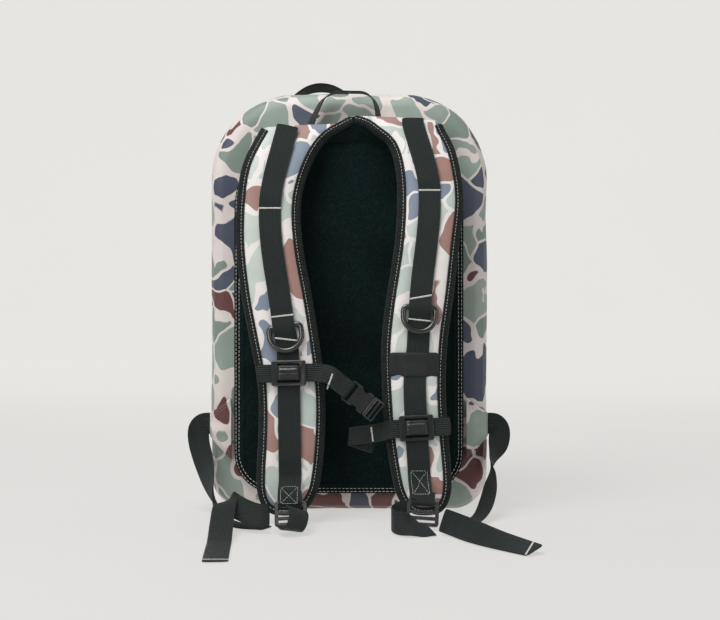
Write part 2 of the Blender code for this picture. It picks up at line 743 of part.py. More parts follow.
def strap_yoke():
    """The bound roll of cloth above the straps, sewn across the top of the back."""
    start, end = YOKE_SPAN
    rings = []
    for step in range(21):
        x = start + (end - start) * step / 20
        ring = []
        for turn in range(12):
            angle = 2 * math.pi * turn / 12
            y = YOKE_Y + YOKE_HALF_DEEP * math.cos(angle)
            ring.append((x, y, YOKE_Z + YOKE_HALF_TALL * math.sin(angle)))
        rings.append(ring)
    return loft("strap_yoke", rings, camo_cloth("camo yoke"), 60.0)


# ---------------------------------------------------------------- ladder-locks, lower webbing and tails


def ladder_frame(side):
    """Where a ladder-lock hangs in front of a strap tip: X along its bars, Y up, Z towards the viewer."""
    place_at = LADDER_PLACE[side]
    return frame_from(place_at, (1.0, LADDER_TURN[side], 0.0), (0.0, -0.86, 0.51))


def ladder_lock(side):
    """The three-bar adjuster at the end of a strap."""
    finish = black_plastic(f"ladder lock {side}")
    made = rounded_block(f"ladder_lock_{side}", 0.0175, 0.0140, -0.0017, 0.0017, 0.0030, 0.0006, finish)
    holes = [
        block(f"cut_lock_top_{side}", (-0.0135, 0.0034, -0.01), (0.0135, 0.0108, 0.01), finish),
        block(f"cut_lock_mid_{side}", (-0.0135, -0.0034, -0.01), (0.0135, 0.0002, 0.01), finish),
        block(f"cut_lock_low_{side}", (-0.0135, -0.0104, -0.01), (0.0135, -0.0068, 0.01), finish),
    ]
    for hole in holes:
        carve(made, hole)
    frame = ladder_frame(side)
    place(made, frame)
    pivot(f"lock_line_{side}", frame @ Vector((0.0, LADDER_TOP_BAR, 0.0)), made, adjuster_tail(side))
    return made


def lower_webbing(side):
    """The webbing from a wing tab, looping out past the side and down to the ground by the ladder-lock."""
    stations = [(Vector(point), Vector(across)) for point, across in LOWER_PATH[side]]
    finish = webbing_cloth(f"lower webbing {side}")
    return ribbon(f"lower_webbing_{side}", stations, WEB_WIDE, WEB_THICK, finish)


def adjuster_tail(side):
    """The free end of the lower webbing past the ladder-lock, lying out over the ground."""
    stations = [(Vector(point), Vector(across)) for point, across in TAIL_PATH[side]]
    finish = webbing_cloth(f"adjuster tail {side}")
    return ribbon(f"adjuster_tail_{side}", stations, WEB_WIDE, WEB_THICK, finish)


def wing_tab(side):
    """The triangle of camouflage cloth between the back panel edge and the lower webbing."""
    sign = STRAP_SIGN[side]
    rows = [
        (0.1365, -0.0925, 0.0610, 0.1340), (0.1450, -0.0925, 0.0690, 0.1270), (0.1540, -0.0905, 0.0785, 0.1205),
        (0.1605, -0.0870, 0.0855, 0.1170), (0.1628, -0.0840, 0.0880, 0.1155),
    ]
    rings = []
    for x, y, low, high in rows:
        rings.append([
            (sign * x, y - 0.0012, low), (sign * x, y - 0.0012, high),
            (sign * x, y + 0.0012, high), (sign * x, y + 0.0012, low),
        ])
    return loft(f"wing_tab_{side}", rings, camo_cloth(f"camo wing tab {side}"), 60.0)


def side_loop(side):
    """A small webbing loop sewn to the side of the shell."""
    sign = STRAP_SIGN[side]
    out = WIDTH / 2 + GAP + 0.0008
    centre = {"left": 0.180, "right": 0.198}[side]
    half = [(0.016, 0.0), (0.009, 0.0), (0.004, 0.0042)]
    shape = [(-offset, stand) for offset, stand in half] + half[::-1]
    stations = []
    for offset, stand in shape:
        stations.append((Vector((sign * (out + stand), 0.012, centre + offset)), Vector((0, 1, 0))))
    finish = webbing_cloth(f"side loop {side}")
    return ribbon(f"side_loop_{side}", stations, 0.020, 0.0014, finish)


# ---------------------------------------------------------------- handles


def haul_loop():
    """The thin loop at the back of the neck, standing on the yoke."""
    foot = YOKE_Z + YOKE_HALF_TALL + GAP
    across = Vector((0.0, 1.0, 0.0))
    rise = [(-0.0400, foot), (-0.0365, 0.469), (-0.0290, 0.4815), (-0.0160, 0.4880)]
    fall = [(0.0040, 0.4885), (0.0190, 0.4865), (0.0285, 0.4790), (0.0330, 0.467), (0.0345, foot)]
    stations = [(Vector((x, YOKE_Y, z)), across) for x, z in rise + fall]
    return ribbon("haul_loop", stations, 0.016, 0.0016, webbing_cloth("haul loop webbing"), 5)


def grab_handle():
    """The grab handle across the top of the shell, towards the front."""
    foot = HEIGHT + GAP + 0.0012
    shape = [(-0.093, 0.0), (-0.078, 0.0012), (-0.068, 0.010), (-0.053, 0.0250), (-0.037, 0.0295)]
    shape += [(-0.020, 0.0270), (-0.002, 0.0130), (0.010, 0.0018), (0.024, 0.0)]
    stations = [(Vector((x, 0.022, foot + rise)), Vector((0.0, 1.0, 4.0 * rise))) for x, rise in shape]
    return ribbon("grab_handle", stations, 0.025, 0.0020, webbing_cloth("grab handle webbing"), 5)


# ---------------------------------------------------------------- sternum strap


def slider_frame(side):
    """Where a sternum slider sits: its origin is the back of the loose strap webbing."""
    z = SLIDER_HEIGHT[side]
    return web_frame(side, z, face_lift() + GAP + LOOSE_LIFT)


def sternum_slider(side):
    """The slider that rides on the strap webbing and carries the sternum webbing across it."""
    finish = black_plastic(f"sternum slider {side}")
    name = f"sternum_slider_{side}"
    made = rounded_block(name, 0.0190, 0.0140, -0.0028, 0.0062, 0.0025, 0.0010, finish)
    pieces = [
        ("cut_" + name + "_strap", (-0.0132, -0.05, -GAP), (0.0132, 0.05, 0.0017)),
        ("cut_" + name + "_sternum", (-0.05, -0.0107, 0.0016), (0.05, 0.0107, 0.0037)),
        ("cut_" + name + "_upper", (-0.0125, 0.0078, 0.0030), (0.0125, 0.0105, 0.02)),
        ("cut_" + name + "_lower", (-0.0125, -0.0105, 0.0030), (0.0125, -0.0078, 0.02)),
    ]
    tools = [block(label, low, high, finish) for label, low, high in pieces]
    for tool in tools:
        carve(made, tool)
    pad = rounded_block("join_" + name, 0.0120, 0.0064, 0.0045, 0.0082, 0.0040, 0.0012, finish)
    carve(made, pad, "UNION")
    place(made, slider_frame(side))
    return made


def buckle_frame():
    """The closed buckle between the straps: X from its left bar to its right end, Z to the viewer."""
    return frame_from(BUCKLE_PLACE, (math.cos(BUCKLE_TILT), 0.0, -math.sin(BUCKLE_TILT)), (0.0, -1.0, 0.0))


def buckle_female():
    finish = black_plastic("buckle housing")
    made = rounded_block("buckle_female", 0.0145, 0.0125, -0.00425, 0.00425, 0.0022, 0.0013, finish)
    shift(made, (0.0145, 0.0, 0.0))
    tools = [
        block("cut_female_slot", (0.0031, -0.0106, -0.02), (0.0078, 0.0106, 0.02), finish),
        block("cut_female_over", (-0.01, -0.0111, 0.0017), (0.0050, 0.0111, 0.02), finish),
        block("cut_female_under", (-0.01, -0.0111, -0.02), (0.0050, 0.0111, -0.0017), finish),
        block("cut_female_room", (0.0100, -0.0101, -0.0028), (0.05, 0.0101, 0.0028), finish),
    ]
    for side in (-1, 1):
        window = (0.0175, side * 0.0145)
        tools.append(round_post(f"cut_female_window_{side + 1}", window, 0.0052, 0.02, finish))
    for tool in tools:
        carve(made, tool)
    place(made, buckle_frame())
    return made


def round_post(name, centre, radius, half_tall, finish, sides=24):
    """An upright cylinder, as far above as below the XY plane."""
    rings = []
    for z in (-half_tall, half_tall):
        ring = []
        for step in range(sides):
            angle = 2 * math.pi * step / sides
            ring.append((centre[0] + radius * math.cos(angle), centre[1] + radius * math.sin(angle), z))
        rings.append(ring)
    return loft(name, rings, finish)


def buckle_male():
    finish = black_plastic("buckle plug")
    made = rounded_block("buckle_male", 0.00685, 0.0125, -0.0036, 0.0036, 0.0022, 0.0010, finish)
    shift(made, (0.03615, 0.0, 0.0))
    slots = [
        block("cut_male_near", (0.0335, -0.0106, -0.02), (0.0360, 0.0106, 0.02), finish),
        block("cut_male_far", (0.0385, -0.0106, -0.02), (0.0408, 0.0106, 0.02), finish),
    ]
    for slot in slots:
        carve(made, slot)
    joins = [block("join_male_tongue", (0.0140, -0.0018, -0.0018), (0.0310, 0.0018, 0.0018), finish)]
    for side in (-1, 1):
        near, far = sorted((side * 0.0060, side * 0.0084))
        barb = (0.0165, side * 0.0071)
        arm = ((0.0145, near, -0.0020), (0.0310, far, 0.0020))
        joins.append(block(f"join_male_arm_{side + 1}", *arm, finish))
        joins.append(round_post(f"join_male_barb_{side + 1}", barb, 0.0025, 0.0022, finish))
    for join in joins:
        carve(made, join, "UNION")
    place(made, buckle_frame())
    return made


def sternum_webbing_left():
    """From its turned end, under the left slider and round the bar of the buckle."""
    frame = slider_frame("left")
    lock = buckle_frame()
    up = frame.col[1].to_3d()
    reach = (-0.036, -0.024, -0.012, 0.0, 0.012, 0.0200, 0.0265)
    stations = [(frame @ Vector((along, 0.0, 0.0026)), up) for along in reach]
    across = lock.col[1].to_3d()
    stations.append((lock @ Vector((-0.026, 0.0, BAR_TURN)), (up * 0.35 + across * 0.65)))
    for along, out in hairpin(BAR_TURN, 0.014, 0.012):
        stations.append((lock @ Vector((0.00155 - along, 0.0, out)), across))
    finish = webbing_cloth("sternum webbing left")
    return ribbon("sternum_webbing_left", stations, STERNUM_WIDE, WEB_THICK, finish, 3)


def sternum_webbing_right():
    """From its turned end, under the right slider, out over the middle and folded back on itself."""
    frame = slider_frame("right")
    up = frame.col[1].to_3d()
    reach = (0.038, 0.026, 0.012, 0.0, -0.012, -0.0200, -0.0265)
    stations = [(frame @ Vector((along, 0.0, 0.0026)), up) for along in reach]
    tip = Vector((0.10, 0.0, 1.0))
    stations += [
        (Vector((0.0330, -0.1690, 0.1000)), tip), (Vector((0.0200, -0.1620, 0.0975)), tip),
        (Vector((0.0060, -0.1575, 0.0955)), tip), (Vector((0.0006, -0.1545, 0.0945)), tip),
        (Vector((0.0045, -0.1510, 0.0930)), tip),
        (Vector((0.0180, -0.1490, 0.0880)), Vector((0.30, 0.0, 1.0))),
        (Vector((0.0300, -0.1480, 0.0840)), Vector((0.35, 0.0, 1.0))),
    ]
    finish = webbing_cloth("sternum webbing right")
    return ribbon("sternum_webbing_right", stations, STERNUM_WIDE, WEB_THICK, finish, 4)


def build():
    clear_scene()
    shell_body()
    front_lid(main_zip())
    main_slider()
    frame_sheet()
    back_panel()
    front_pocket()
    pocket_zip()
    grab_handle()
    haul_loop()
    strap_yoke()
    patches = {"left": [], "right": [name_patch()]}
    buckle_female()
    buckle_male()
    sternum_webbing_left()
    sternum_webbing_right()
    for side in ("left", "right"):
        pieces = [strap_pad(side), strap_face(side), strap_webbing(side)]
        pivot(f"strap_fold_{side}", STRAP_FOLD, *pieces, *patches[side])
        d_ring(side)
        sternum_slider(side)
        ladder_lock(side)
        lower_webbing(side)
        wing_tab(side)
        side_loop(side)


build()
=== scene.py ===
import json
import math
import random
from contextlib import contextmanager

import bmesh
import bpy
import numpy as np
from mathutils import Matrix, Vector, noise
from mathutils.bvhtree import BVHTree


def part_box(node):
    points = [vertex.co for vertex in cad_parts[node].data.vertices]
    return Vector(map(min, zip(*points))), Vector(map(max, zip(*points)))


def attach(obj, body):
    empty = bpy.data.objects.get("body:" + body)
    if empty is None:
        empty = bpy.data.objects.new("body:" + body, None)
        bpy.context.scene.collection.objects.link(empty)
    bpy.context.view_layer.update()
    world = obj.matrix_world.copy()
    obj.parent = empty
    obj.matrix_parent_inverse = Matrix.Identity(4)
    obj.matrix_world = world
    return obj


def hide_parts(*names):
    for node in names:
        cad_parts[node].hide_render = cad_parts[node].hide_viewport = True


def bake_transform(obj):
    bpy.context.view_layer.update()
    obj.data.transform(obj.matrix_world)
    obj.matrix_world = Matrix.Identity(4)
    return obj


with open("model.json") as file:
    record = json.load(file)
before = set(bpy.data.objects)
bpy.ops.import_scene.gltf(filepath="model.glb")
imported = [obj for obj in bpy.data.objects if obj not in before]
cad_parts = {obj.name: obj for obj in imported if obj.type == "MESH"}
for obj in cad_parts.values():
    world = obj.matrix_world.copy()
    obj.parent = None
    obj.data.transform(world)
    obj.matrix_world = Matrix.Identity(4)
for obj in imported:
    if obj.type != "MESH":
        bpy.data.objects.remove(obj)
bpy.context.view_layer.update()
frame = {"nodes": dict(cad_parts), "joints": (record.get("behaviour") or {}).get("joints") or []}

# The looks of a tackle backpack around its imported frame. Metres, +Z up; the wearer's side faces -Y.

SIDES = ("left", "right")
SIGN = {"left": -1.0, "right": 1.0}
UP = Vector((0.0, 0.0, 1.0))
TO_WEARER = Vector((0.0, -1.0, 0.0))
FROM_WEARER = Vector((0.0, 1.0, 0.0))
BEFORE_ALL = -0.6  # a Y on the wearer's side of every piece

SHELL_LOW, SHELL_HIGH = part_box("shell_body")
LID_LOW, LID_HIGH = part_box("front_lid")
PANEL_LOW, PANEL_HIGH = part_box("back_panel")
POCKET_LOW, POCKET_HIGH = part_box("front_pocket")

# The shell: its wall, its corner radii across and up, and how deep and how far in its faces roll
WALL = 0.0030
TOP_CORNER = (0.096, 0.100)
BOTTOM_CORNER = (0.042, 0.040)
ROLL = 0.022
ROLL_INSET = 0.017
ZIP_HALF = 0.0021
ZIP_Y = LID_LOW.y - ZIP_HALF - 0.0004
ZIP_TAPE = 0.0009
TOOTH = 0.00055

WEB_WIDE = 0.025
STERNUM_WIDE = 0.020
WEB_THICK = 0.0013
BAR_TURN = 0.0032  # from a buckle's bar to the middle of the webbing round it
TACK_WIDE = 0.0020
TACK_THREAD = 0.00024
LOW_STITCH = 0.0003  # how far stitches stand in front of webbing
HIGH_STITCH = 0.0014  # and in front of padding and thick cloth


# ---------------------------------------------------------------- shader helpers


def linear(red, green, blue):
    """A colour from its 0 to 255 screen values to the linear values that shaders take."""
    out = []
    for value in (red, green, blue):
        share = value / 255.0
        out.append(share / 12.92 if share <= 0.04045 else ((share + 0.055) / 1.055) ** 2.4)
    return (*out, 1.0)


def add_node(tree, kind, settings=None, inputs=None):
    """A shader node with its settings, and its inputs set to values or linked to sockets."""
    made = tree.nodes.new("ShaderNode" + kind)
    for key, value in (settings or {}).items():
        setattr(made, key, value)
    for key, value in (inputs or {}).items():
        if isinstance(value, bpy.types.NodeSocket):
            tree.links.new(value, made.inputs[key])
        else:
            made.inputs[key].default_value = value
    return made


def maths(tree, operation, first, second=0.0, third=0.0):
    """The result of one sum; only some sums take a third number."""
    inputs = {0: first, 1: second}
    if operation in ("MULTIPLY_ADD", "SMOOTH_MIN"):
        inputs[2] = third
    return add_node(tree, "Math", {"operation": operation}, inputs).outputs[0]


def map_range(tree, value, start, end, low=0.0, high=1.0):
    """A value from start to end as a number from low to high, and no further."""
    inputs = {"Value": value, "From Min": start, "From Max": end, "To Min": low, "To Max": high}
    return add_node(tree, "MapRange", None, inputs).outputs[0]


def mix_colour(tree, share, first, second, kind="MIX"):
    """Two colours mixed, or the first multiplied by the second."""
    made = add_node(tree, "Mix", {"data_type": "RGBA", "blend_type": kind})
    for socket, value in ((made.inputs[0], share), (made.inputs[6], first), (made.inputs[7], second)):
        if isinstance(value, bpy.types.NodeSocket):
            tree.links.new(value, socket)
        else:
            socket.default_value = value
    return made.outputs[2]


def lighten(tree, colour, times):
    """A colour as many times lighter as a value says."""
    grey = add_node(tree, "CombineColor", None, {0: times, 1: times, 2: times}).outputs[0]
    return mix_colour(tree, 1.0, colour, grey, "MULTIPLY")


def paint(tree, shader, share, first, second):
    """Two colours mixed into the colour of the surface."""
    tree.links.new(mix_colour(tree, share, first, second), shader.inputs["Base Color"])


def vary_gloss(tree, shader, cloudy, low, high):
    """Roughness that goes from low to high with a cloudy value."""
    tree.links.new(map_range(tree, cloudy, 0.3, 0.7, low, high), shader.inputs["Roughness"])


def new_material(name, roughness, metallic=0.0, sheen=0.0, specular=0.5, coat=0.0):
    """A material with its node tree and its shader."""
    made = bpy.data.materials.new(name)
    made.use_nodes = True
    shader = made.node_tree.nodes["Principled BSDF"]
    shader.inputs["Roughness"].default_value = roughness
    shader.inputs["Metallic"].default_value = metallic
    shader.inputs["Sheen Weight"].default_value = sheen
    shader.inputs["Specular IOR Level"].default_value = specular
    shader.inputs["Coat Weight"].default_value = coat
    return made, made.node_tree, shader


def object_point(tree):
    """The place on the piece, in metres."""
    return add_node(tree, "TexCoord").outputs["Object"]


def cloth_point(tree):
    """Metres across and along a strip of cloth, stored on the strip's own points."""
    made = add_node(tree, "Attribute", {"attribute_name": "weave"})
    return add_node(tree, "SeparateXYZ", None, {0: made.outputs["Vector"]})


def noise_at(tree, point, scale, detail):
    """A noise node, for its value or its colour."""
    return add_node(tree, "TexNoise", None, {"Vector": point, "Scale": scale, "Detail": detail})


def cloud(tree, point, scale, detail):
    """A cloudy value, mostly from 0.3 to 0.7."""
    return noise_at(tree, point, scale, detail).outputs[0]


def waves(tree, place, pitch):
    """A wave of one pitch, from -1 to 1."""
    return maths(tree, "SINE", maths(tree, "MULTIPLY", place, 2 * math.pi / pitch))


def bump(tree, shader, height, distance, strength=1.0, under=None):
    """Relief from a height, on top of other relief if it is given."""
    inputs = {"Height": height, "Distance": distance, "Strength": strength}
    if under is not None:
        inputs["Normal"] = under
    normal = add_node(tree, "Bump", None, inputs).outputs["Normal"]
    tree.links.new(normal, shader.inputs["Normal"])
    return normal


# ---------------------------------------------------------------- materials

# Each colour of the print, after the chance value at which it begins
BAG_COLOURS = (
    (0.00, linear(138, 151, 142)),
    (0.22, linear(120, 135, 126)),
    (0.40, linear(74, 80, 96)),
    (0.56, linear(98, 58, 56)),
    (0.72, linear(145, 158, 149)),
    (0.90, linear(64, 70, 88)),
)
# The straps' print: the bag's print with its colours painted lighter, partly for the light from above that
# falls on the straps.
STRAP_COLOURS = (
    (0.00, linear(188, 196, 190)),
    (0.26, linear(126, 138, 152)),
    (0.46, linear(152, 118, 109)),
    (0.68, linear(178, 188, 182)),
    (0.84, linear(120, 130, 146)),
)
BAG_GROUND = linear(214, 204, 200)
# The straps' ground, painted lighter than the bag's in the same way.
STRAP_GROUND = linear(222, 217, 214)
CAMO_CELL = 0.036
CAMO_CHANNEL = 0.045  # ground left along each cell's edge, in cells
CAMO_REACH = 0.56  # how far the smallest blob reaches from its cell's middle, in cells


def camo_blob(tree, point, shift):
    """Where the print's blobs are, and two chance values for each blob."""
    moved = add_node(tree, "Mapping", None, {
        "Vector": point, "Location": shift, "Scale": (1.0, 1.0, 0.86)}).outputs[0]
    warped = moved
    for scale, sway in ((0.55, 1.7), (1.5, 0.50)):
        sideways = noise_at(tree, moved, scale / CAMO_CELL, 1.0).outputs["Color"]
        warped = add_node(tree, "VectorMath", {"operation": "MULTIPLY_ADD"}, {
            0: sideways, 1: (CAMO_CELL * sway,) * 3, 2: warped}).outputs[0]
    inputs = {"Vector": warped, "Scale": 1.0 / CAMO_CELL, "Randomness": 1.0}
    edge = add_node(tree, "TexVoronoi", {"feature": "DISTANCE_TO_EDGE"}, inputs).outputs["Distance"]
    middle = add_node(tree, "TexVoronoi", {"feature": "F1"}, inputs)
    chance = add_node(tree, "SeparateColor", None, {0: middle.outputs["Color"]})
    inside = maths(tree, "SUBTRACT", edge, CAMO_CHANNEL)
    reach = maths(tree, "MULTIPLY_ADD", chance.outputs[1], 0.40, CAMO_REACH)
    near = maths(tree, "SUBTRACT", reach, middle.outputs["Distance"])
    return map_range(tree, maths(tree, "SMOOTH_MIN", inside, near, 0.26), -0.003, 0.006), chance


def camo(name, ground, colours, shift, roughness):
    """Printed camouflage on coated cloth: rounded blobs of a few colours with pale ground between them, and
    painted shade, brown and darker, along its lowest two centimetres.
    """
    made, tree, shader = new_material(name, roughness, sheen=0.08, specular=0.45)
    point = object_point(tree)
    inked, chance = camo_blob(tree, point, shift)
    ramp = add_node(tree, "ValToRGB", None, {0: chance.outputs[0]})
    ramp.color_ramp.interpolation = "CONSTANT"
    while len(ramp.color_ramp.elements) < len(colours):
        ramp.color_ramp.elements.new(0.5)
    for element, (place, colour) in zip(ramp.color_ramp.elements, colours):
        element.position = place
        element.color = colour
    faded = cloud(tree, point, 38.0, 3.0)
    printed = mix_colour(tree, inked, ground, ramp.outputs["Color"])
    printed = lighten(tree, printed, map_range(tree, faded, 0.3, 0.7, 0.93, 1.04))
    height = add_node(tree, "SeparateXYZ", None, {0: point}).outputs["Z"]
    # Painted shade: the cloth darkens towards brown in its lowest 2 cm, for the shadow where the bag meets
    # the floor.
    floor_shade = maths(tree, "MULTIPLY", map_range(tree, height, 0.0, 0.020, 0.45, 0.0), faded)
    paint(tree, shader, floor_shade, printed, linear(112, 98, 88))
    vary_gloss(tree, shader, cloud(tree, point, 120.0, 2.0), roughness - 0.07, roughness + 0.10)
    soft = bump(tree, shader, cloud(tree, point, 45.0, 3.0), 0.0016, 0.35)
    bump(tree, shader, cloud(tree, point, 1900.0, 1.0), 0.0002, 0.25, soft)
    return made


def webbing(name, shade, rib, weft, depth=0.00022):
    """Woven nylon: ribs along its length, fine weft across, and a dusty sheen."""
    made, tree, shader = new_material(name, roughness=0.58, sheen=0.06, specular=0.22)
    cloth = cloth_point(tree)
    across = waves(tree, cloth.outputs[0], rib)
    along = waves(tree, cloth.outputs[1], weft)
    height = maths(tree, "MULTIPLY_ADD", maths(tree, "MULTIPLY", along, across), 0.35, across)
    point = object_point(tree)
    patchy = cloud(tree, point, 60.0, 3.0)
    fibre = cloud(tree, point, 2600.0, 1.0)
    # The colour follows the ribs' relief as well as random tone: painted highlight on the rib crests, painted
    # shade between them.
    lift = maths(tree, "MULTIPLY_ADD", height, 0.22, maths(tree, "MULTIPLY_ADD", patchy, 0.5, fibre))
    rib_shaded_colour = lighten(tree, shade, map_range(tree, lift, 0.45, 1.05, 0.55, 1.45))
    tree.links.new(rib_shaded_colour, shader.inputs["Base Color"])
    vary_gloss(tree, shader, patchy, 0.48, 0.66)
    bump(tree, shader, height, depth)
    return made


def binding_tape(name):
    """Black ribbed edge tape: ribs across the tape, frayed a little by noise."""
    made, tree, shader = new_material(name, roughness=0.80, sheen=0.08, specular=0.12)
    worn = cloud(tree, object_point(tree), 420.0, 2.0)
    along = maths(tree, "MULTIPLY", cloth_point(tree).outputs[1], 2 * math.pi / 0.0021)
    ribs = maths(tree, "SINE", maths(tree, "MULTIPLY_ADD", worn, 2.2, along))
    # Painted highlight and shade: the ribs' crests are painted lighter and the grooves darker, over a random
    # worn tone.
    share = maths(tree, "MULTIPLY_ADD", ribs, 0.30, maths(tree, "MULTIPLY", worn, 0.9))
    paint(tree, shader, share, linear(1, 3, 3), linear(46, 52, 50))
    bump(tree, shader, maths(tree, "MULTIPLY_ADD", ribs, 0.6, worn), 0.00045)
    return made


def spacer_mesh(name, dark, light, cell=0.0021):
    """Black spacer mesh: small open cells over foam, with a soft bloom."""
    made, tree, shader = new_material(name, roughness=0.86, sheen=0.03, specular=0.10)
    point = object_point(tree)
    inputs = {"Vector": point, "Scale": 1.0 / cell}
    holes = add_node(tree, "TexVoronoi", {"feature": "F1"}, inputs).outputs["Distance"]
    paint(tree, shader, maths(tree, "MULTIPLY", holes, cloud(tree, point, 26.0, 3.0)), dark, light)
    soft = bump(tree, shader, cloud(tree, point, 55.0, 2.0), 0.0016, 0.4)
    bump(tree, shader, maths(tree, "SUBTRACT", 1.0, holes), 0.0006, 0.7, soft)
    return made


def moulded_plastic(name, shade, roughness, edge, coat):
    """Moulded nylon: a fine grain, uneven gloss, and its edges painted lighter: a painted highlight along
    them, with some wear.
    """
    made, tree, shader = new_material(name, roughness, coat=coat)
    shader.inputs["Coat Roughness"].default_value = 0.16
    point = object_point(tree)
    cloudy = cloud(tree, point, 240.0, 3.0)
    # Painted highlight: convex edges are painted lighter, standing for light catching them as well as wear.
    edge_wear_and_highlight = map_range(tree, add_node(tree, "NewGeometry").outputs["Pointiness"], 0.52, 0.62, 0.0, edge)
    paint(tree, shader, maths(tree, "MULTIPLY", edge_wear_and_highlight, cloudy), shade, linear(118, 112, 102))
    vary_gloss(tree, shader, cloudy, roughness - 0.08, roughness + 0.12)
    bump(tree, shader, cloud(tree, point, 2400.0, 1.0), 0.00012, 0.5)
    return made


def mottled(name, roughness, colours, cloudy, grain, sheen=0.0, specular=0.4):
    """Two close colours clouded together, over a fine grain of one scale, depth and strength."""
    made, tree, shader = new_material(name, roughness, sheen=sheen, specular=specular)
    point = object_point(tree)
    paint(tree, shader, cloud(tree, point, *cloudy), *colours)
    scale, depth, strength = grain
    bump(tree, shader, cloud(tree, point, scale, 1.0), depth, strength)
    return made


def twisted_thread(name, shade):
    """Sewing thread, darker where it is soiled."""
    soiled = tuple(channel * 0.55 for channel in shade[:3]) + (1.0,)
    return mottled(name, 0.6, (soiled, shade), (700.0, 2.0), (3200.0, 0.0001, 0.6), 0.4, 0.3)


def slider_metal(name):
    """Dark plated zinc, clouded a little lighter and darker."""
    made, tree, shader = new_material(name, roughness=0.34, metallic=0.9)
    cloudy = cloud(tree, object_point(tree), 500.0, 3.0)
    paint(tree, shader, cloudy, linear(60, 60, 62), linear(124, 124, 126))
    tree.links.new(map_range(tree, cloudy, 0.0, 1.0, 0.25, 0.50), shader.inputs["Roughness"])
    bump(tree, shader, cloudy, 0.0001, 0.4)
    return made


def patch_rubber(name):
    """A moulded soft patch, its face finely pebbled."""
    made, tree, shader = new_material(name, roughness=0.62, specular=0.4)
    inputs = {"Vector": object_point(tree), "Scale": 900.0}
    pebble = add_node(tree, "TexVoronoi", {"feature": "F1"}, inputs).outputs["Distance"]
    # Painted shade and highlight: each pebble's hollow is painted darker and its rim lighter, following the
    # relief.
    paint(tree, shader, pebble, linear(14, 16, 16), linear(28, 30, 30))
    bump(tree, shader, pebble, 0.0002, 0.5)
    return made


LINING = (linear(120, 124, 126), linear(158, 160, 160))
SHEET = (linear(168, 170, 172), linear(190, 192, 193))
MATERIALS = {
    "bag": camo("bag_camo", BAG_GROUND, BAG_COLOURS, shift=(0.31, 0.17, 0.05), roughness=0.50),
    "strap": camo("strap_camo", STRAP_GROUND, STRAP_COLOURS, shift=(0.72, 0.05, 0.33), roughness=0.52),
    "webbing": webbing("webbing_charcoal", linear(29, 36, 35), rib=0.0017, weft=0.0011),
    "sternum": webbing("webbing_sternum", linear(36, 43, 40), rib=0.0024, weft=0.0013, depth=0.00050),
    "binding": binding_tape("binding_black"),
    "mesh": spacer_mesh("spacer_mesh_black", linear(9, 12, 12), linear(44, 48, 46)),
    "panel": spacer_mesh("panel_mesh_black", linear(1, 7, 8), linear(18, 44, 42), cell=0.0026),
    "plastic": moulded_plastic("moulded_nylon", linear(16, 20, 19), roughness=0.34, edge=0.8, coat=0.12),
    "ring": moulded_plastic("glossy_nylon", linear(22, 26, 24), roughness=0.22, edge=0.4, coat=0.7),
    "thread": twisted_thread("thread_white", linear(226, 224, 216)),
    # A darker copy of the white thread: painted shade, for the stitches on the wing tabs that lie in shade.
    "shaded_thread": twisted_thread("thread_white_shaded", linear(146, 150, 147)),
    "metal": slider_metal("slider_metal"),
    "lining": mottled("lining_grey", 0.58, LINING, (90.0, 3.0), (1500.0, 0.0002, 0.4)),
    "rubber": patch_rubber("patch_rubber"),
    "sheet": mottled("sheet_plastic", 0.5, SHEET, (30.0, 3.0), (900.0, 0.0001, 0.4), specular=0.45),
}


# ---------------------------------------------------------------- mesh helpers


@contextmanager
def edited(mesh):
    """A mesh opened for editing, and written back afterwards."""
    builder = bmesh.new()
    builder.from_mesh(mesh)
    yield builder
    builder.to_mesh(mesh)
    builder.free()


def new_object(name, data):
    """An object in the scene."""
    made = bpy.data.objects.new(name, data)
    bpy.context.scene.collection.objects.link(made)
    return made


def piece(name, points, faces, finish):
    """A smooth-shaded mesh with its faces turned out."""
    mesh = bpy.data.meshes.new(name)
    mesh.from_pydata([tuple(point) for point in points], [], faces)
    with edited(mesh) as builder:
        bmesh.ops.recalc_face_normals(builder, faces=builder.faces)
    mesh.shade_smooth()
    mesh.materials.append(finish)
    return new_object(name, mesh)


def store_weave(made, values):
    """Keep each point's place across and along the cloth, for the weave in its material."""
    attribute = made.data.attributes.new("weave", "FLOAT_VECTOR", "POINT")
    attribute.data.foreach_set("vector", [number for value in values for number in value])


def settle(made, body, *stands_for, slot=None):
    """The piece moves with a body and hides the CAD nodes that it stands for; its slot is not used."""
    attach(made, body)
    if stands_for:
        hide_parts(*stands_for)
    return made


def thicken(made, thick, inward=True, inner=None):
    """Give a sheet its thickness, its inner face in its own material if one is given."""
    change = made.modifiers.new("Thickness", "SOLIDIFY")
    change.thickness = thick
    change.offset = -1.0 if inward else 1.0
    if inner is not None:
        made.data.materials.append(inner)
        change.material_offset = 1
        change.material_offset_rim = 0
    return made


def soften(made):
    """One round of subdivision."""
    change = made.modifiers.new("Smooth", "SUBSURF")
    change.levels = 1
    change.render_levels = 1
    return made


def band_faces(rows, count, closed):
    """The faces between rows of points; closed ones join the ends of each row."""
    faces = []
    for low in range(0, (rows - 1) * count, count):
        high = low + count
        for step in range(count if closed else count - 1):
            beside = (step + 1) % count
            faces.append((low + step, low + beside, high + beside, high + step))
    return faces


def sheet_grid(name, rows, finish, closed=False):
    """A sheet through rows of points; a closed one joins the ends of each row."""
    points = [point for row in rows for point in row]
    return piece(name, points, band_faces(len(rows), len(rows[0]), closed), finish)


def travelled(points):
    """How far along a line each of its points is."""
    places = [0.0]
    for near, far in zip(points, points[1:]):
        places.append(places[-1] + (far - near).length)
    return places


def read_at(place, places, rows):
    """The numbers at a place between rows of numbers."""
    return [float(np.interp(place, places, column)) for column in rows.T]


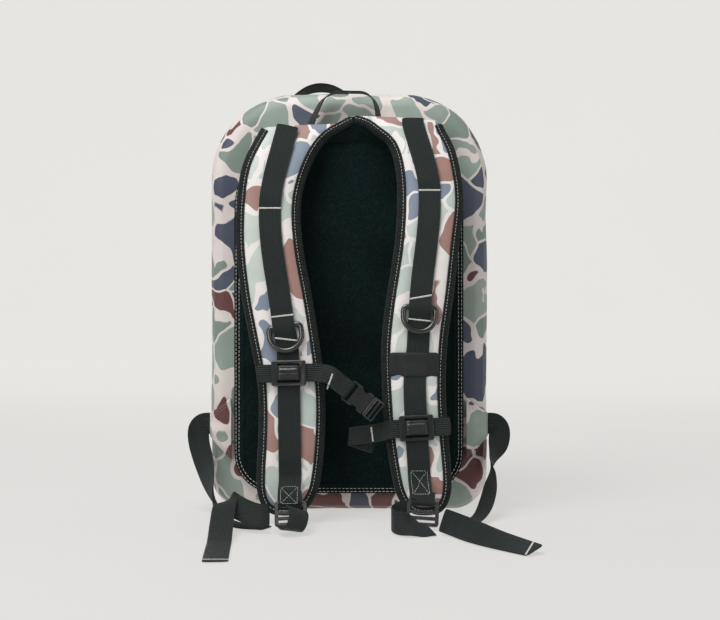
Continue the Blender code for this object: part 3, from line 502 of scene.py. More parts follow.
def line_rows(line):
    """How far along a line of (point, facing direction) each point is, and the line as rows of numbers."""
    rows = np.array([[*point, *out] for point, out in line], float)
    return travelled([point for point, _ in line]), rows


def between(t, start, leave, end, arrive):
    """A smooth way from start to end by its share t, with its slopes at both ends."""
    first = (2 * t**3 - 3 * t**2 + 1) * start + (t**3 - 2 * t**2 + t) * leave
    return first + ((3 * t**2 - 2 * t**3) * end + (t**3 - t**2) * arrive)


def through(stations, pitch=0.004):
    """Smooth rows (centre, direction across) through stations, about one pitch apart."""
    places = [0.0]
    points = []
    for point, across in stations:
        points.append(np.array([*Vector(point), *Vector(across).normalized()], float))
    for near, far in zip(points, points[1:]):
        places.append(places[-1] + float(np.linalg.norm((far - near)[:3])) + 1e-9)
    last = len(points) - 1
    slopes = []
    for index in range(last + 1):
        low = max(index - 1, 0)
        high = min(index + 1, last)
        slopes.append((points[high] - points[low]) / (places[high] - places[low]))
    rows = []
    for index in range(last):
        span = places[index + 1] - places[index]
        leave = span * slopes[index]
        arrive = span * slopes[index + 1]
        count = max(1, math.ceil(span / pitch))
        for step in range(count):
            rows.append(between(step / count, points[index], leave, points[index + 1], arrive))
    rows.append(points[last])
    return [(Vector(row[:3]), Vector(row[3:]).normalized()) for row in rows]


WEB_SECTION = ((-1.0, 0.30), (-0.94, 1.0), (-0.5, 1.0), (0.0, 1.0), (0.5, 1.0), (0.94, 1.0), (1.0, 0.30))


def row_frame(rows, index):
    """The direction ahead, the direction across and the facing direction at one row."""
    across = rows[index][1]
    ahead = rows[min(index + 1, len(rows) - 1)][0] - rows[max(index - 1, 0)][0]
    out = ahead.cross(across).normalized()
    return ahead.normalized(), out.cross(ahead).normalized(), out


def ribbon(name, rows, wide, thick, finish):
    """Flat webbing along rows (centre, direction across), thinner at its two edges."""
    points = []
    weave = []
    for index, place in enumerate(travelled([centre for centre, _ in rows])):
        centre = rows[index][0]
        _, side, out = row_frame(rows, index)
        for face, section in ((1.0, WEB_SECTION), (-1.0, WEB_SECTION[::-1])):
            for share, full in section:
                points.append(centre + side * share * wide / 2 + out * face * full * thick / 2)
                weave.append((share * wide / 2, place, 0.0))
    ring = 2 * len(WEB_SECTION)
    faces = band_faces(len(rows), ring, True)
    faces.append(tuple(range(ring)))
    faces.append(tuple(range(len(points) - ring, len(points))))
    made = piece(name, points, faces, finish)
    store_weave(made, weave)
    return made


def web_piece(name, rows, body, *stands_for, wide=WEB_WIDE, thick=WEB_THICK, finish="webbing"):
    """A length of webbing on a body."""
    made = soften(ribbon(name, rows, wide, thick, MATERIALS[finish]))
    return settle(made, body, *stands_for, slot="webbing")


def stations_of(path):
    """Stations (centre, direction across) from plain numbers."""
    return [(Vector(point), Vector(across)) for point, across in path]


class Threads:
    """Many short stitches in one mesh."""

    # Along a stitch: the share of its length, its thickness and its lift, in thread radii
    HUMP = ((0.0, 0.45, -0.7), (0.16, 0.95, 0.2), (0.5, 1.0, 0.5), (0.84, 0.95, 0.2), (1.0, 0.45, -0.7))
    THREAD_SIDES = 5

    def __init__(self, seed):
        """No stitches yet, and the chance that moves them a little."""
        self.points = []
        self.faces = []
        self.chance = random.Random(seed)

    def stitch(self, start, end, out, radius):
        """One stitch, humped a little above the cloth and sunk in it at both ends."""
        ahead = end - start
        side = ahead.cross(out).normalized()
        base = len(self.points)
        for share, grow, lift in self.HUMP:
            centre = start + ahead * share + out * radius * lift
            for turn in range(self.THREAD_SIDES):
                angle = 2 * math.pi * turn / self.THREAD_SIDES
                spread = side * math.cos(angle) + out * math.sin(angle)
                self.points.append(centre + spread * radius * grow)
        for face in band_faces(len(self.HUMP), self.THREAD_SIDES, True):
            self.faces.append(tuple(base + index for index in face))

    def dashes(self, line, pitch, length, radius):
        """Stitches along a line of (point, facing direction)."""
        places, rows = line_rows(line)
        start = pitch * 0.3
        while start + length < places[-1]:
            wobble = self.chance.uniform(-0.06, 0.06) * pitch
            near = read_at(start + wobble, places, rows)
            far = read_at(start + length + wobble, places, rows)
            self.stitch(Vector(near[:3]), Vector(far[:3]), Vector(near[3:]).normalized(), radius)
            start += pitch

    def tack(self, start, end, out):
        """A bar tack: satin threads lying side by side from start to end."""
        ahead = end - start
        across = out.cross(ahead).normalized()
        count = max(2, int(ahead.length / (TACK_THREAD * 1.7)))
        for step in range(count + 1):
            reach = TACK_WIDE / 2 * self.chance.uniform(0.86, 1.10)
            lean = ahead.normalized() * TACK_THREAD * 1.2
            centre = start + ahead * step / count
            self.stitch(centre - across * reach - lean, centre + across * reach + lean, out, TACK_THREAD)

    def finish(self, name, body, finish="thread"):
        """All the stitches as one piece on a body."""
        return settle(piece(name, self.points, self.faces, MATERIALS[finish]), body)


def tree_of(*items):
    """One search tree over the faces of several meshes that stand where they were made."""
    points = []
    faces = []
    for item in items:
        base = len(points)
        points += [vertex.co.copy() for vertex in item.data.vertices]
        faces += [[base + index for index in polygon.vertices] for polygon in item.data.polygons]
    return BVHTree.FromPolygons(points, faces)


def front_y(tree, x, z, fallback):
    """How far forward, towards the wearer, a surface stands at a place."""
    point = tree.ray_cast(Vector((x, BEFORE_ALL, z)), FROM_WEARER)[0]
    if point is None:
        point = tree.find_nearest(Vector((x, fallback, z)))[0]
    return point.y


def laid_on(tree, x, z, fallback, lift):
    """The point a lift in front of a surface at a place."""
    return Vector((x, front_y(tree, x, z, fallback) - lift, z))


def smoothed(values, rounds=3):
    """A row of numbers or vectors with small steps averaged away, its ends kept."""
    values = list(values)
    for _ in range(rounds):
        middle = [(values[i - 1] + values[i] * 2 + values[i + 1]) / 4 for i in range(1, len(values) - 1)]
        values = [values[0]] + middle + [values[-1]]
    return values


def on_corner(corner, turned):
    """The point of a rounded corner where its first angle has turned so far."""
    x, z, (wide, tall), start, _ = corner
    angle = math.radians(start + turned)
    return x + wide * math.cos(angle), z + tall * math.sin(angle)


def rounded_outline(corners, steps):
    """Points (x, z) round corners (x, z, radii across and up, first angle, parts of the side after it)."""
    points = []
    for index, corner in enumerate(corners):
        points += [on_corner(corner, 90.0 * step / steps) for step in range(steps + 1)]
        x, z = points[-1]
        end = on_corner(corners[(index + 1) % len(corners)], 0.0)
        parts = corner[-1]
        for step in range(1, parts):
            share = step / parts
            points.append((x + (end[0] - x) * share, z + (end[1] - z) * share))
    return points


# ---------------------------------------------------------------- padded pieces

CLOTH_STEPS = 20


def puff(made, cap, pressure):
    """Blow a closed mesh up as cloth, no point moved past the cap."""
    start = read_points(made)
    cloth = made.modifiers.new("Cloth", "CLOTH")
    cloth.settings.quality = 4
    cloth.settings.mass = 0.25
    cloth.settings.use_pressure = True
    cloth.settings.uniform_pressure_force = pressure
    cloth.settings.tension_stiffness = 12.0
    cloth.settings.compression_stiffness = 12.0
    cloth.settings.bending_stiffness = 1.2
    cloth.settings.effector_weights.gravity = 0.0
    cloth.point_cache.frame_start = 1
    cloth.point_cache.frame_end = CLOTH_STEPS
    for number in range(1, CLOTH_STEPS + 1):
        bpy.context.scene.frame_set(number)
    bake_modifiers(made)
    moved = read_points(made) - start
    reach = np.linalg.norm(moved, axis=1, keepdims=True)
    moved *= np.minimum(1.0, cap / np.maximum(reach, 1e-9))
    made.data.vertices.foreach_set("co", (start + moved).ravel())
    bpy.context.scene.frame_set(1)


def inflate(node, name, finish, voxel, cap, pressure, shrink):
    """The soft pad a CAD solid stands for: remeshed, shrunk a little and blown up again."""
    mesh = frame["nodes"][node].data.copy()
    mesh.materials.clear()
    made = new_object(name, mesh)
    remesh = made.modifiers.new("Remesh", "REMESH")
    remesh.mode = "VOXEL"
    remesh.voxel_size = voxel
    bake_modifiers(made)
    with edited(made.data) as builder:
        for vertex in builder.verts:
            vertex.co -= vertex.normal * shrink
        axes = {"use_axis_x": True, "use_axis_y": True, "use_axis_z": True}
        bmesh.ops.smooth_vert(builder, verts=builder.verts, factor=0.5, **axes)
    puff(made, cap, pressure)
    made.data.update()
    made.data.materials.append(finish)
    made.data.shade_smooth()
    return made


def bake_modifiers(made):
    """Apply every modifier a piece carries."""
    graph = bpy.context.evaluated_depsgraph_get()
    graph.update()
    old = made.data
    made.data = bpy.data.meshes.new_from_object(made.evaluated_get(graph), depsgraph=graph)
    made.modifiers.clear()
    bpy.data.meshes.remove(old)


def read_points(made):
    """A mesh's points as rows of numbers."""
    values = np.zeros(len(made.data.vertices) * 3)
    made.data.vertices.foreach_get("co", values)
    return values.reshape(-1, 3)


# ---------------------------------------------------------------- shell and lid


def arch(inset, steps=14):
    """The shell outline in X and Z at an inset, counter-clockwise from the bottom right."""
    half = SHELL_HIGH.x - inset
    top = SHELL_HIGH.z - inset
    low = [radius - inset * 0.6 for radius in BOTTOM_CORNER]
    high = [radius - inset * 0.6 for radius in TOP_CORNER]
    return rounded_outline((
        (half - low[0], inset + low[1], low, -90.0, 18),
        (half - high[0], top - high[1], high, 0.0, 12),
        (-half + high[0], top - high[1], high, 90.0, 18),
        (-half + low[0], inset + low[1], low, 180.0, 12),
    ), steps)


def shell_profile():
    """Pairs of Y and inset along the side of the shell, from the back face to the front face."""
    turns = [math.pi / 2 * step / 10 for step in range(11)]
    rolls = [(ROLL * (1.0 - math.sin(turn)), ROLL_INSET * (1.0 - math.cos(turn))) for turn in turns]
    near = sorted((SHELL_LOW.y + depth, inset) for depth, inset in rolls)
    far = sorted((LID_HIGH.y - depth, inset) for depth, inset in rolls)
    start = near[-1][0]
    end = far[0][0]
    middle = [(start + (end - start) * step / 22, 0.0) for step in range(1, 22)]
    return near + middle + far


def sag(point, out):
    """Soft wrinkles and hollows of the coated cloth, in metres along the facing direction."""
    wide = noise.noise(point * 13.0) * 0.0016
    fold = noise.noise(Vector((point.x * 26.0, point.y * 30.0, point.z * 20.0 + 5.0))) * 0.0011
    fine = noise.noise(point * 75.0) * 0.0004
    return out * (wide + fold + fine)


PIPING_PLACE = 0.0042  # from the edge of the shell to each ridge beside it
PIPING_RISE = 0.0015
PIPING_WIDE = 0.0016


def piping(y):
    """How far the skin stands proud at a depth, for the ridges beside the shell's edges."""
    rise = 0.0
    for edge_y in (SHELL_LOW.y, LID_HIGH.y):
        away = abs(abs(y - edge_y) - PIPING_PLACE)
        rise += PIPING_RISE * math.exp(-(away / PIPING_WIDE) ** 2)
    return rise


def shell_skin():
    """The whole closed skin of the bag before it is parted along the zip."""
    deepest = 0.158
    face_insets = (0.145, 0.12, 0.095, 0.07, 0.048, 0.030, 0.016, 0.007)
    back = [(SHELL_LOW.y, ROLL_INSET + extra) for extra in face_insets]
    front = [(LID_HIGH.y, inset) for _, inset in reversed(back)]
    rings = []
    for y, inset in back + shell_profile() + front:
        rings.append([Vector((x, y, z)) for x, z in arch(min(inset, deepest))])
    made = sheet_grid("bag_skin", rings, MATERIALS["bag"], closed=True)
    centre = UP * SHELL_HIGH.z / 2
    with edited(made.data) as builder:
        bmesh.ops.holes_fill(builder, edges=[edge for edge in builder.edges if edge.is_boundary], sides=0)
        bmesh.ops.recalc_face_normals(builder, faces=builder.faces)
        if sum(face.normal.dot(face.calc_center_median() - centre) for face in builder.faces) < 0.0:
            bmesh.ops.reverse_faces(builder, faces=builder.faces)
        for vertex in builder.verts:
            vertex.co += sag(vertex.co.copy(), vertex.normal) + vertex.normal * piping(vertex.co.y)
            vertex.co.z = max(vertex.co.z, 0.0002)
    return made


def part_skin(made, keep_lid):
    """Cut the skin along the zip and keep the lid or the rest."""
    seam = ZIP_Y + ZIP_HALF if keep_lid else ZIP_Y - ZIP_HALF
    level = LID_LOW.z + (0.0006 if keep_lid else -0.0006)
    with edited(made.data) as builder:
        for place, direction in (((0, seam, 0), (0, 1, 0)), ((0, 0, level), (0, 0, 1))):
            geometry = list(builder.verts) + list(builder.edges) + list(builder.faces)
            bmesh.ops.bisect_plane(builder, geom=geometry, dist=1e-6, plane_co=place, plane_no=direction)
        doomed = []
        for face in builder.faces:
            centre = face.calc_center_median()
            in_lid = centre.y > seam and centre.z > level
            if in_lid != keep_lid:
                doomed.append(face)
        bmesh.ops.delete(builder, geom=doomed, context="FACES")
    made.data.shade_smooth()


def build_shell():
    """The shell and the lid, cut from one skin, and the strip of cloth that hinges them."""
    shell = shell_skin()
    shell.name = "bag_shell"
    lid = new_object("bag_lid", shell.data.copy())
    part_skin(shell, False)
    part_skin(lid, True)
    for made, body, node in ((shell, "pack", "shell_body"), (lid, "lid", "front_lid")):
        thicken(made, WALL, inner=MATERIALS["lining"])
        settle(made, body, node, slot="camo_cloth")
    low = 0.2200
    tall = 0.0110
    half = 0.148
    rows = []
    for step in range(7):
        y = LID_HIGH.y + 0.0006 + 0.0012 * math.sin(math.pi * step / 6)
        z = low + tall * step / 6
        rows.append([Vector((-half + 2 * half * column / 40, y, z)) for column in range(41)])
    hinge = thicken(sheet_grid("lid_hinge_strip", rows, MATERIALS["bag"]), 0.0012, inward=False)
    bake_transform(hinge)


# Across a main zip tape: how far from the seam, and how far out
MAIN_TAPE = ((0.0005, 0.0), (0.0022, 0.0004), (0.0060, -0.0016))
# Across a pocket zip tape: how far from the seam
POCKET_TAPE = (0.0004, 0.0030, 0.0068)


def build_main_zip():
    """Zip tapes and teeth along the arch, each half on its own body."""
    outline = [(x, z) for x, z in arch(0.0026, 20) if z > LID_LOW.z + 0.003]
    start = outline.index(max(outline, key=lambda point: (point[0] > 0, -point[1])))
    seam = []
    for x, z in outline[start:] + outline[:start]:
        seam.append((Vector((x, ZIP_Y, z)), Vector((x, 0.0, z - 0.25)).normalized()))
    places, line = line_rows([(point + out * 0.0006, out) for point, out in seam])
    count = int(places[-1] / 0.0024)
    for half, body, node in ((-1.0, "pack", "main_zip_shell_side"), (1.0, "lid", "main_zip_lid_side")):
        rows = []
        for point, out in seam:
            rows.append([point + Vector((0.0, half * aside, 0.0)) + out * rise for aside, rise in MAIN_TAPE])
        tape = sheet_grid("main_zip_tape_" + body, rows, MATERIALS["binding"])
        store_weave(tape, [(vertex.co.y, vertex.co.z, 0.0) for vertex in tape.data.vertices])
        settle(thicken(tape, ZIP_TAPE), body, node)
        teeth = Threads(5)
        for step in range(count):
            found = read_at((step + 0.5 + 0.25 * half) * places[-1] / count, places, line)
            centre = Vector(found[:3])
            inner = centre + Vector((0.0, -half * 0.0003, 0.0))
            outer = centre + Vector((0.0, half * 0.0017, 0.0))
            teeth.stitch(inner, outer, Vector(found[3:]).normalized(), TOOTH)
        teeth.finish("main_zip_teeth_" + body, body, "plastic")


# ---------------------------------------------------------------- front pocket

# From the pocket's foot to the middle of its face: share of its depth, and inset
POCKET_PROFILE = (
    (0.0, 0.0), (0.2, -0.0006), (0.45, 0.0), (0.66, 0.0008), (0.80, 0.0028), (0.90, 0.0060),
    (0.96, 0.0105), (0.99, 0.017), (1.0, 0.026), (1.0, 0.040), (1.0, 0.056), (1.0, 0.072),
)


def pocket_ring(inset):
    """The pocket's outline (x, z) at an inset."""
    middle_z = ((POCKET_LOW + POCKET_HIGH) / 2).z
    corner = max(0.028 - inset * 0.5, 0.003)
    half_x = (POCKET_HIGH.x - POCKET_LOW.x) / 2
    half_z = (POCKET_HIGH.z - POCKET_LOW.z) / 2
    corners = []
    for side, up, start, parts in ((1, -1, -90.0, 12), (1, 1, 0.0, 9), (-1, 1, 90.0, 12), (-1, -1, 180.0, 9)):
        x = side * (half_x - inset - corner)
        z = middle_z + up * (half_z - inset - corner)
        corners.append((x, z, (corner, corner), start, parts))
    return rounded_outline(corners, 8)


def build_pocket():
    """The front pocket: a soft pillow with rounded edges, closed over its face."""
    depth = POCKET_HIGH.y - POCKET_LOW.y
    rings = []
    for share, inset in POCKET_PROFILE:
        rings.append([Vector((x, POCKET_LOW.y + depth * share, z)) for x, z in pocket_ring(inset)])
    made = sheet_grid("front_pocket_cloth", rings, MATERIALS["bag"], closed=True)
    face_y = POCKET_HIGH.y - 0.001
    with edited(made.data) as builder:
        edges = [edge for edge in builder.edges if edge.is_boundary and edge.verts[0].co.y > face_y]
        bmesh.ops.holes_fill(builder, edges=edges, sides=0)
        bmesh.ops.recalc_face_normals(builder, faces=builder.faces)
        for vertex in builder.verts:
            if vertex.co.y > POCKET_LOW.y + 0.002:
                vertex.co += sag(vertex.co.copy(), vertex.normal) * 0.9
    made.data.shade_smooth()
    thicken(made, 0.0024, inner=MATERIALS["lining"])
    settle(made, "pack", "front_pocket", slot="camo_cloth")


def build_pocket_zip():
    """The zip across the pocket's face."""
    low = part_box("pocket_zip_lower")[0]
    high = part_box("pocket_zip_upper")[1]
    level = (low.z + high.z) / 2
    for name, side in (("upper", 1.0), ("lower", -1.0)):
        rows = []
        for step in range(50):
            x = low.x + (high.x - low.x) * step / 49
            rows.append([Vector((x, low.y + 0.0004, level + side * rise)) for rise in POCKET_TAPE])
        tape = sheet_grid("pocket_zip_tape_" + name, rows, MATERIALS["binding"])
        store_weave(tape, [(vertex.co.z, vertex.co.x, 0.0) for vertex in tape.data.vertices])
        settle(thicken(tape, ZIP_TAPE), "pack", "pocket_zip_" + name)
    teeth = Threads(8)
    reach = Vector((0.0002, 0.0, 0.0019))
    count = 130
    for step in range(count):
        centre = Vector((low.x + (high.x - low.x) * (step + 0.5) / count, high.y - 0.0003, level))
        teeth.stitch(centre - reach, centre + reach, FROM_WEARER, TOOTH)
    teeth.finish("pocket_zip_teeth", "pack", "plastic")


# ---------------------------------------------------------------- back panel

# Across the panel's border: inset from its edge, and how far it falls away there
BORDER = (
    (0.0006, 0.0030), (0.0022, 0.0004), (0.0060, 0.0),
    (0.0105, 0.0), (0.0135, 0.0004), (0.0142, 0.0012),
)


def panel_edge(inset):
    """The outline of the back panel at an inset, counter-clockwise from the bottom right."""
    half = PANEL_HIGH.x - inset
    low = PANEL_LOW.z + inset
    high = PANEL_HIGH.z - inset
    small = 0.046 - inset * 0.6
    large = 0.085 - inset * 0.6
    outline = rounded_outline((
        (half - small, low + small, (small, small), -90.0, 26),
        (half - large, high - large, (large, large), 0.0, 14),
        (-half + large, high - large, (large, large), 90.0, 26),
        (-half + small, low + small, (small, small), 180.0, 22),
    ), 12)
    return [Vector((x, 0.0, z)) for x, z in outline]


def build_panel():
    """The padded back panel with a flat sewn border and two rows of stitches."""
    pad = inflate(
        "back_panel", "back_panel_pad", MATERIALS["panel"],
        voxel=0.0060, cap=0.0030, pressure=2.0, shrink=0.0010)
    tree = tree_of(pad)
    soften(pad)
    settle(pad, "pack", "back_panel", slot="black_mesh")
    rest = PANEL_LOW.y
    rings = []
    for inset, drop in BORDER:
        ring = []
        for point in panel_edge(inset):
            y = front_y(tree, point.x, point.z, rest)
            ring.append(Vector((point.x, y - 0.0011 + drop, point.z)))
        rings.append(smoothed(ring, 2))
    border = sheet_grid("back_panel_border", rings, MATERIALS["panel"], closed=True)
    weave = []
    for number, ring in enumerate(rings):
        weave += [(number * 0.003, place, 0.0) for place in travelled(ring)]
    store_weave(border, weave)
    soften(thicken(border, 0.0012))
    settle(border, "pack")
    threads = Threads(11)
    for inset in (0.0036, 0.0070):
        line = [(laid_on(tree, at.x, at.z, rest, HIGH_STITCH), TO_WEARER) for at in panel_edge(inset)]
        threads.dashes(line + line[:1], pitch=0.0046, length=0.0032, radius=0.00034)
    threads.finish("back_panel_stitches", "pack")


# ---------------------------------------------------------------- shoulder straps

# The middle line of each strap's webbing, as (height, distance from the middle plane)
WEB_LINE = {
    "left": [
        (0.4485, 0.0690), (0.350, 0.0882), (0.229, 0.0735),
        (0.190, 0.0672), (0.145, 0.0655), (0.036, 0.0634),
    ],
    "right": [
        (0.4485, 0.0735), (0.3705, 0.0912), (0.250, 0.0805),
        (0.196, 0.0775), (0.150, 0.0735), (0.036, 0.0790),
    ],
}
# The heights of the bar tacks on each strap, and how far each one leans over its width
TACKS = {"left": (0.350, 0.229, 0.203), "right": (0.3705, 0.250, 0.2245)}
TACK_LEAN = {"left": (0.0, 0.0028, -0.0028), "right": (0.0, 0.0040, -0.0026)}
# The top and bottom of the crossed box of stitches, and where the webbing leaves the strap
BOX_LEVELS = {"left": (0.0440, 0.0280), "right": (0.0590, 0.0375)}
WEB_LEAVES = {"left": 0.0270, "right": 0.0330}
# Above the foam: (height, outer edge, inner edge), then the rim of the neck arch up to its middle (x, z)
NECK = {"left": (0.4485, -0.0985, -0.0050), "right": (0.4485, 0.1075, 0.0125)}
ARCH_RIM = {
    "left": ((-0.0034, 0.4442), (0.0008, 0.4480), (0.0036, 0.4496), (0.0062, 0.4499)),
    "right": ((0.0240, 0.4440), (0.0167, 0.4487), (0.0110, 0.4497), (0.0062, 0.4499)),
}
# The top edge of the strap faces, as (X, height)
TOP_EDGE = (
    (-0.0990, 0.4449), (-0.0560, 0.4478), (-0.0112, 0.4501), (-0.0070, 0.4512), (0.0000, 0.4580),
    (0.0060, 0.4590), (0.0204, 0.4591), (0.0594, 0.4572), (0.0985, 0.4535), (0.1100, 0.4490),
)
WARP_FROM = 0.4300  # the height from which a strap face turns to meet the top edge
RISE_SLOPE = 0.35  # how fast the straps leave the wearer above their foam
# Across a strap's binding from its inner edge: inset from the strap's edge, and lift off the pad
BINDING = (
    (0.0100, 0.0014), (0.0094, 0.0021), (0.0072, 0.0024),
    (0.0048, 0.0024), (0.0024, 0.0020), (0.0006, 0.0010),
)
EDGE_CLEAR = 0.0022  # the nearest to the pad's edge that its front is looked for
WEB_LIFT = 0.0022  # from the pad's front to the middle of the webbing
DIP = 0.0024  # how far the webbing stands off above a tack, most at the height DIP_HIGH above it
DIP_HIGH = 0.012


def top_edge(x):
    """The height of the strap faces' top edge."""
    return float(np.interp(x, [point[0] for point in TOP_EDGE], [point[1] for point in TOP_EDGE]))


def web_x(side, z):
    """The middle of the strap webbing at a height, smooth through its stations."""
    stations = WEB_LINE[side]
    z = min(max(z, stations[-1][0]), stations[0][0])
    index = 0
    while index < len(stations) - 2 and z < stations[index + 1][0]:
        index += 1
    before = stations[max(index - 1, 0)]
    start = stations[index]
    end = stations[index + 1]
    after = stations[min(index + 2, len(stations) - 1)]
    span = end[0] - start[0]
    leave = span * (end[1] - before[1]) / (end[0] - before[0])
    arrive = span * (after[1] - start[1]) / (after[0] - start[0])
    return SIGN[side] * between((z - start[0]) / span, start[1], leave, end[1], arrive)


class Strap:
    """One shoulder strap: its simulated pad, its edges by height and the surface under the sewn strips."""

    def __init__(self, side):
        """Read the CAD pad's edges at many heights, then make the soft pad."""
        self.side = side
        self.sign = SIGN[side]
        self.body = "strap_" + side
        node = "strap_pad_" + side
        self.low, self.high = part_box(node)
        solid = tree_of(frame["nodes"][node])
        waist = 0.25
        heights = [waist - (waist - self.low.z - 0.0006) * step / 110 for step in range(111)]
        heights += [waist + (self.high.z - 0.0056 - waist) * step / 90 for step in range(1, 91)]
        rows = sorted(row for z in heights for row in self.read_rows(solid, z))
        last = rows[-1]
        z, outer, inner = NECK[side]
        rows.append((z, outer, inner, last[3] + (z - last[0]) * RISE_SLOPE))
        self.rows = np.array(rows)
        self.pad = inflate(
            node, "strap_cushion_" + side, MATERIALS["mesh"],
            voxel=0.0045, cap=0.0022, pressure=3.0, shrink=0.0006)
        self.tree = tree_of(self.pad)

    def read_rows(self, solid, z):
        """The height, the two edges and the back of the pad there, in a list that is empty off the pad."""
        back = solid.ray_cast(Vector((web_x(self.side, z), 0.3, z)), TO_WEARER)[0]
        if back is None:
            return []
        edges = []
        for way in (-self.sign, self.sign):
            edges.append(solid.ray_cast(Vector((-way * 0.4, back.y - 0.0026, z)), Vector((way, 0.0, 0.0)))[0])
        if None in edges:
            return []
        return [(z, edges[0].x, edges[1].x, back.y)]

    def at(self, z):
        """Outer edge, inner edge and back at a height."""
        return read_at(z, self.rows[:, 0], self.rows[:, 1:])

    def surface(self, x, z):
        """The front of the pad at a place, carried on past its edges and its top end."""
        level = min(z, self.high.z - 0.0045)
        outer, inner, back = self.at(level)
        low, high = sorted((outer, inner))
        within = min(max(x, low + EDGE_CLEAR), high - EDGE_CLEAR)
        return front_y(self.tree, within, level, back - 0.010) + (z - level) * RISE_SLOPE

    def outline(self):
        """The strap's edge in X and Z, from the seam down the outer side, round the tip and up again."""
        low = self.low.z + 0.0008
        seam = top_edge(NECK[self.side][1]) + 0.0004
        rim = ARCH_RIM[self.side]
        falling = [seam - (seam - low) * step / 150 for step in range(151)]
        rising = [low + (rim[0][1] - 0.006 - low) * step / 150 for step in range(151)]
        start, end, _ = self.at(low)
        points = [Vector((self.at(z)[0], 0.0, z)) for z in falling]
        points += [Vector((start + (end - start) * step / 6, 0.0, low - 0.0004)) for step in range(1, 6)]
        points += [Vector((self.at(z)[1], 0.0, z)) for z in rising]
        points += [Vector((x, 0.0, z)) for x, z in rim]
        return smoothed(even_line(points, 0.0035), 4)


def even_line(points, pitch):
    """The same line with points one pitch apart."""
    places = travelled(points)
    count = max(2, int(places[-1] / pitch))
    rows = np.array([list(point) for point in points], float)
    return [Vector(read_at(places[-1] * step / count, places, rows)) for step in range(count + 1)]


def inward(line, index, sign):
    """The direction into the strap from a point of its outline, in X and Z."""
    ahead = line[min(index + 1, len(line) - 1)] - line[max(index - 1, 0)]
    return Vector((ahead.z, 0.0, -ahead.x)).normalized() * sign


def build_binding(strap):
    """The tape over the strap's edge. Gives the line of its stitches back."""
    line = strap.outline()
    edges = [(point, inward(line, index, strap.sign)) for index, point in enumerate(line)]
    rows = []
    for inset, lift in BINDING:
        row = []
        for point, into in edges:
            place = point + into * inset
            probe = point + into * max(inset, EDGE_CLEAR)
            row.append(Vector((place.x, strap.surface(probe.x, probe.z) - lift, place.z)))
        rows.append(smoothed(row, 3))
    wrap = []
    under = []
    for (point, into), front in zip(edges, rows[-1]):
        back = strap.at(point.z)[2]
        middle = front.y * 0.45 + back * 0.55
        wrap.append(Vector((point.x - into.x * 0.0010, middle, point.z - into.z * 0.0010)))
        under.append(Vector((point.x + into.x * 0.0020, back + 0.0008, point.z + into.z * 0.0020)))
    bands = [list(band) for band in zip(*rows, wrap, under)]
    binding = sheet_grid("strap_binding_" + strap.side, bands, MATERIALS["binding"])
    weave = []
    for place in travelled(line):
        weave += [(number * 0.0022, place, 0.0) for number in range(len(bands[0]))]
    store_weave(binding, weave)
    soften(thicken(binding, 0.0010))
    settle(binding, strap.body, slot="black_mesh")
    stitched = []
    for near, far in zip(rows[2], rows[3]):
        stitched.append((near.lerp(far, 0.3) + TO_WEARER * 0.0002, TO_WEARER))
    return stitched


def build_strap(side):
    """A shoulder strap with all that is sewn on it."""
    strap = Strap(side)
    soften(strap.pad)
    settle(strap.pad, strap.body, "strap_pad_" + side, slot="black_mesh")
    threads = Threads({"left": 21, "right": 22}[side])
    threads.dashes(build_binding(strap), pitch=0.0037, length=0.0024, radius=0.00026)
    build_face(strap)
    build_strap_webbing(strap, threads)
    threads.finish("strap_stitches_" + side, strap.body)
    return strap


def face_columns(wide, draw):
    """Insets and lifts off the pad across a strap face, its edges sunk under the bindings."""
    edge = [(draw, 0.0000), (draw + 0.0035, 0.0006)]
    start = draw + 0.0065
    middle = [(start + (wide - 2 * start) * step / 10, 0.0011) for step in range(11)]
    return edge + middle + [(wide - inset, lift) for inset, lift in edge[::-1]]


def build_face(strap):
    """The camouflage cloth between the bindings."""
    top = NECK[strap.side][0]
    low = strap.low.z + 0.0040
    rows = []
    count = 110
    for step in range(count + 1):
        z = top - (top - low) * step / count
        outer, inner, _ = strap.at(z)
        tip = max(0.0, 1.0 - (z - low) / 0.010)
        climb = max(0.0, z - WARP_FROM) / (top - WARP_FROM)
        draw = 0.0045 + 0.006 * tip * tip - 0.0030 * climb
        row = []
        for inset, lift in face_columns(abs(outer - inner), draw):
            x = outer - strap.sign * inset
            level = z if climb == 0.0 else WARP_FROM + climb * (top_edge(x) - WARP_FROM)
            row.append(Vector((x, strap.surface(x, level) - lift, level)))
        rows.append(row)
    for column in zip(*rows):
        for point, y in zip(column, smoothed([point.y for point in column], 3)):
            ripple = noise.noise(Vector((point.x * 60.0, 3.0 * strap.sign, point.z * 42.0)))
            point.y = y + ripple * 0.0003
    made = sheet_grid("strap_camo_" + strap.side, rows, MATERIALS["strap"])
    soften(thicken(made, 0.0005))
    settle(made, strap.body, "strap_face_" + strap.side, slot="strap_camo_cloth")


def frame_from(origin, x_axis, z_axis):
    """A placing frame from where it stands, its X direction and the direction it faces."""
    z = Vector(z_axis).normalized()
    y = z.cross(Vector(x_axis)).normalized()
    x = y.cross(z)
    turned = Matrix((x, y, z)).transposed().to_4x4()
    return Matrix.Translation(Vector(origin)) @ turned


# The middle of each ladder-lock's top bar and the direction along it
LOCK = {
    "left": ((-0.06163, -0.20568, 0.02815), (0.9987, 0.02598, 0.04382)),
    "right": ((0.08095, -0.20569, 0.02813), (0.99709, -0.03891, -0.06562)),
}


def lock_frame(side):
    """A ladder-lock's own frame, at its top bar."""
    origin, along = LOCK[side]
    return frame_from(origin, along, (0.0, -0.86, 0.51))


def strap_across(side, z):
    """The direction across the webbing at a height."""
    ahead = Vector((web_x(side, z + 0.004) - web_x(side, z - 0.004), 0.0, 0.008))
    return Vector((ahead.z, 0.0, -ahead.x)).normalized()


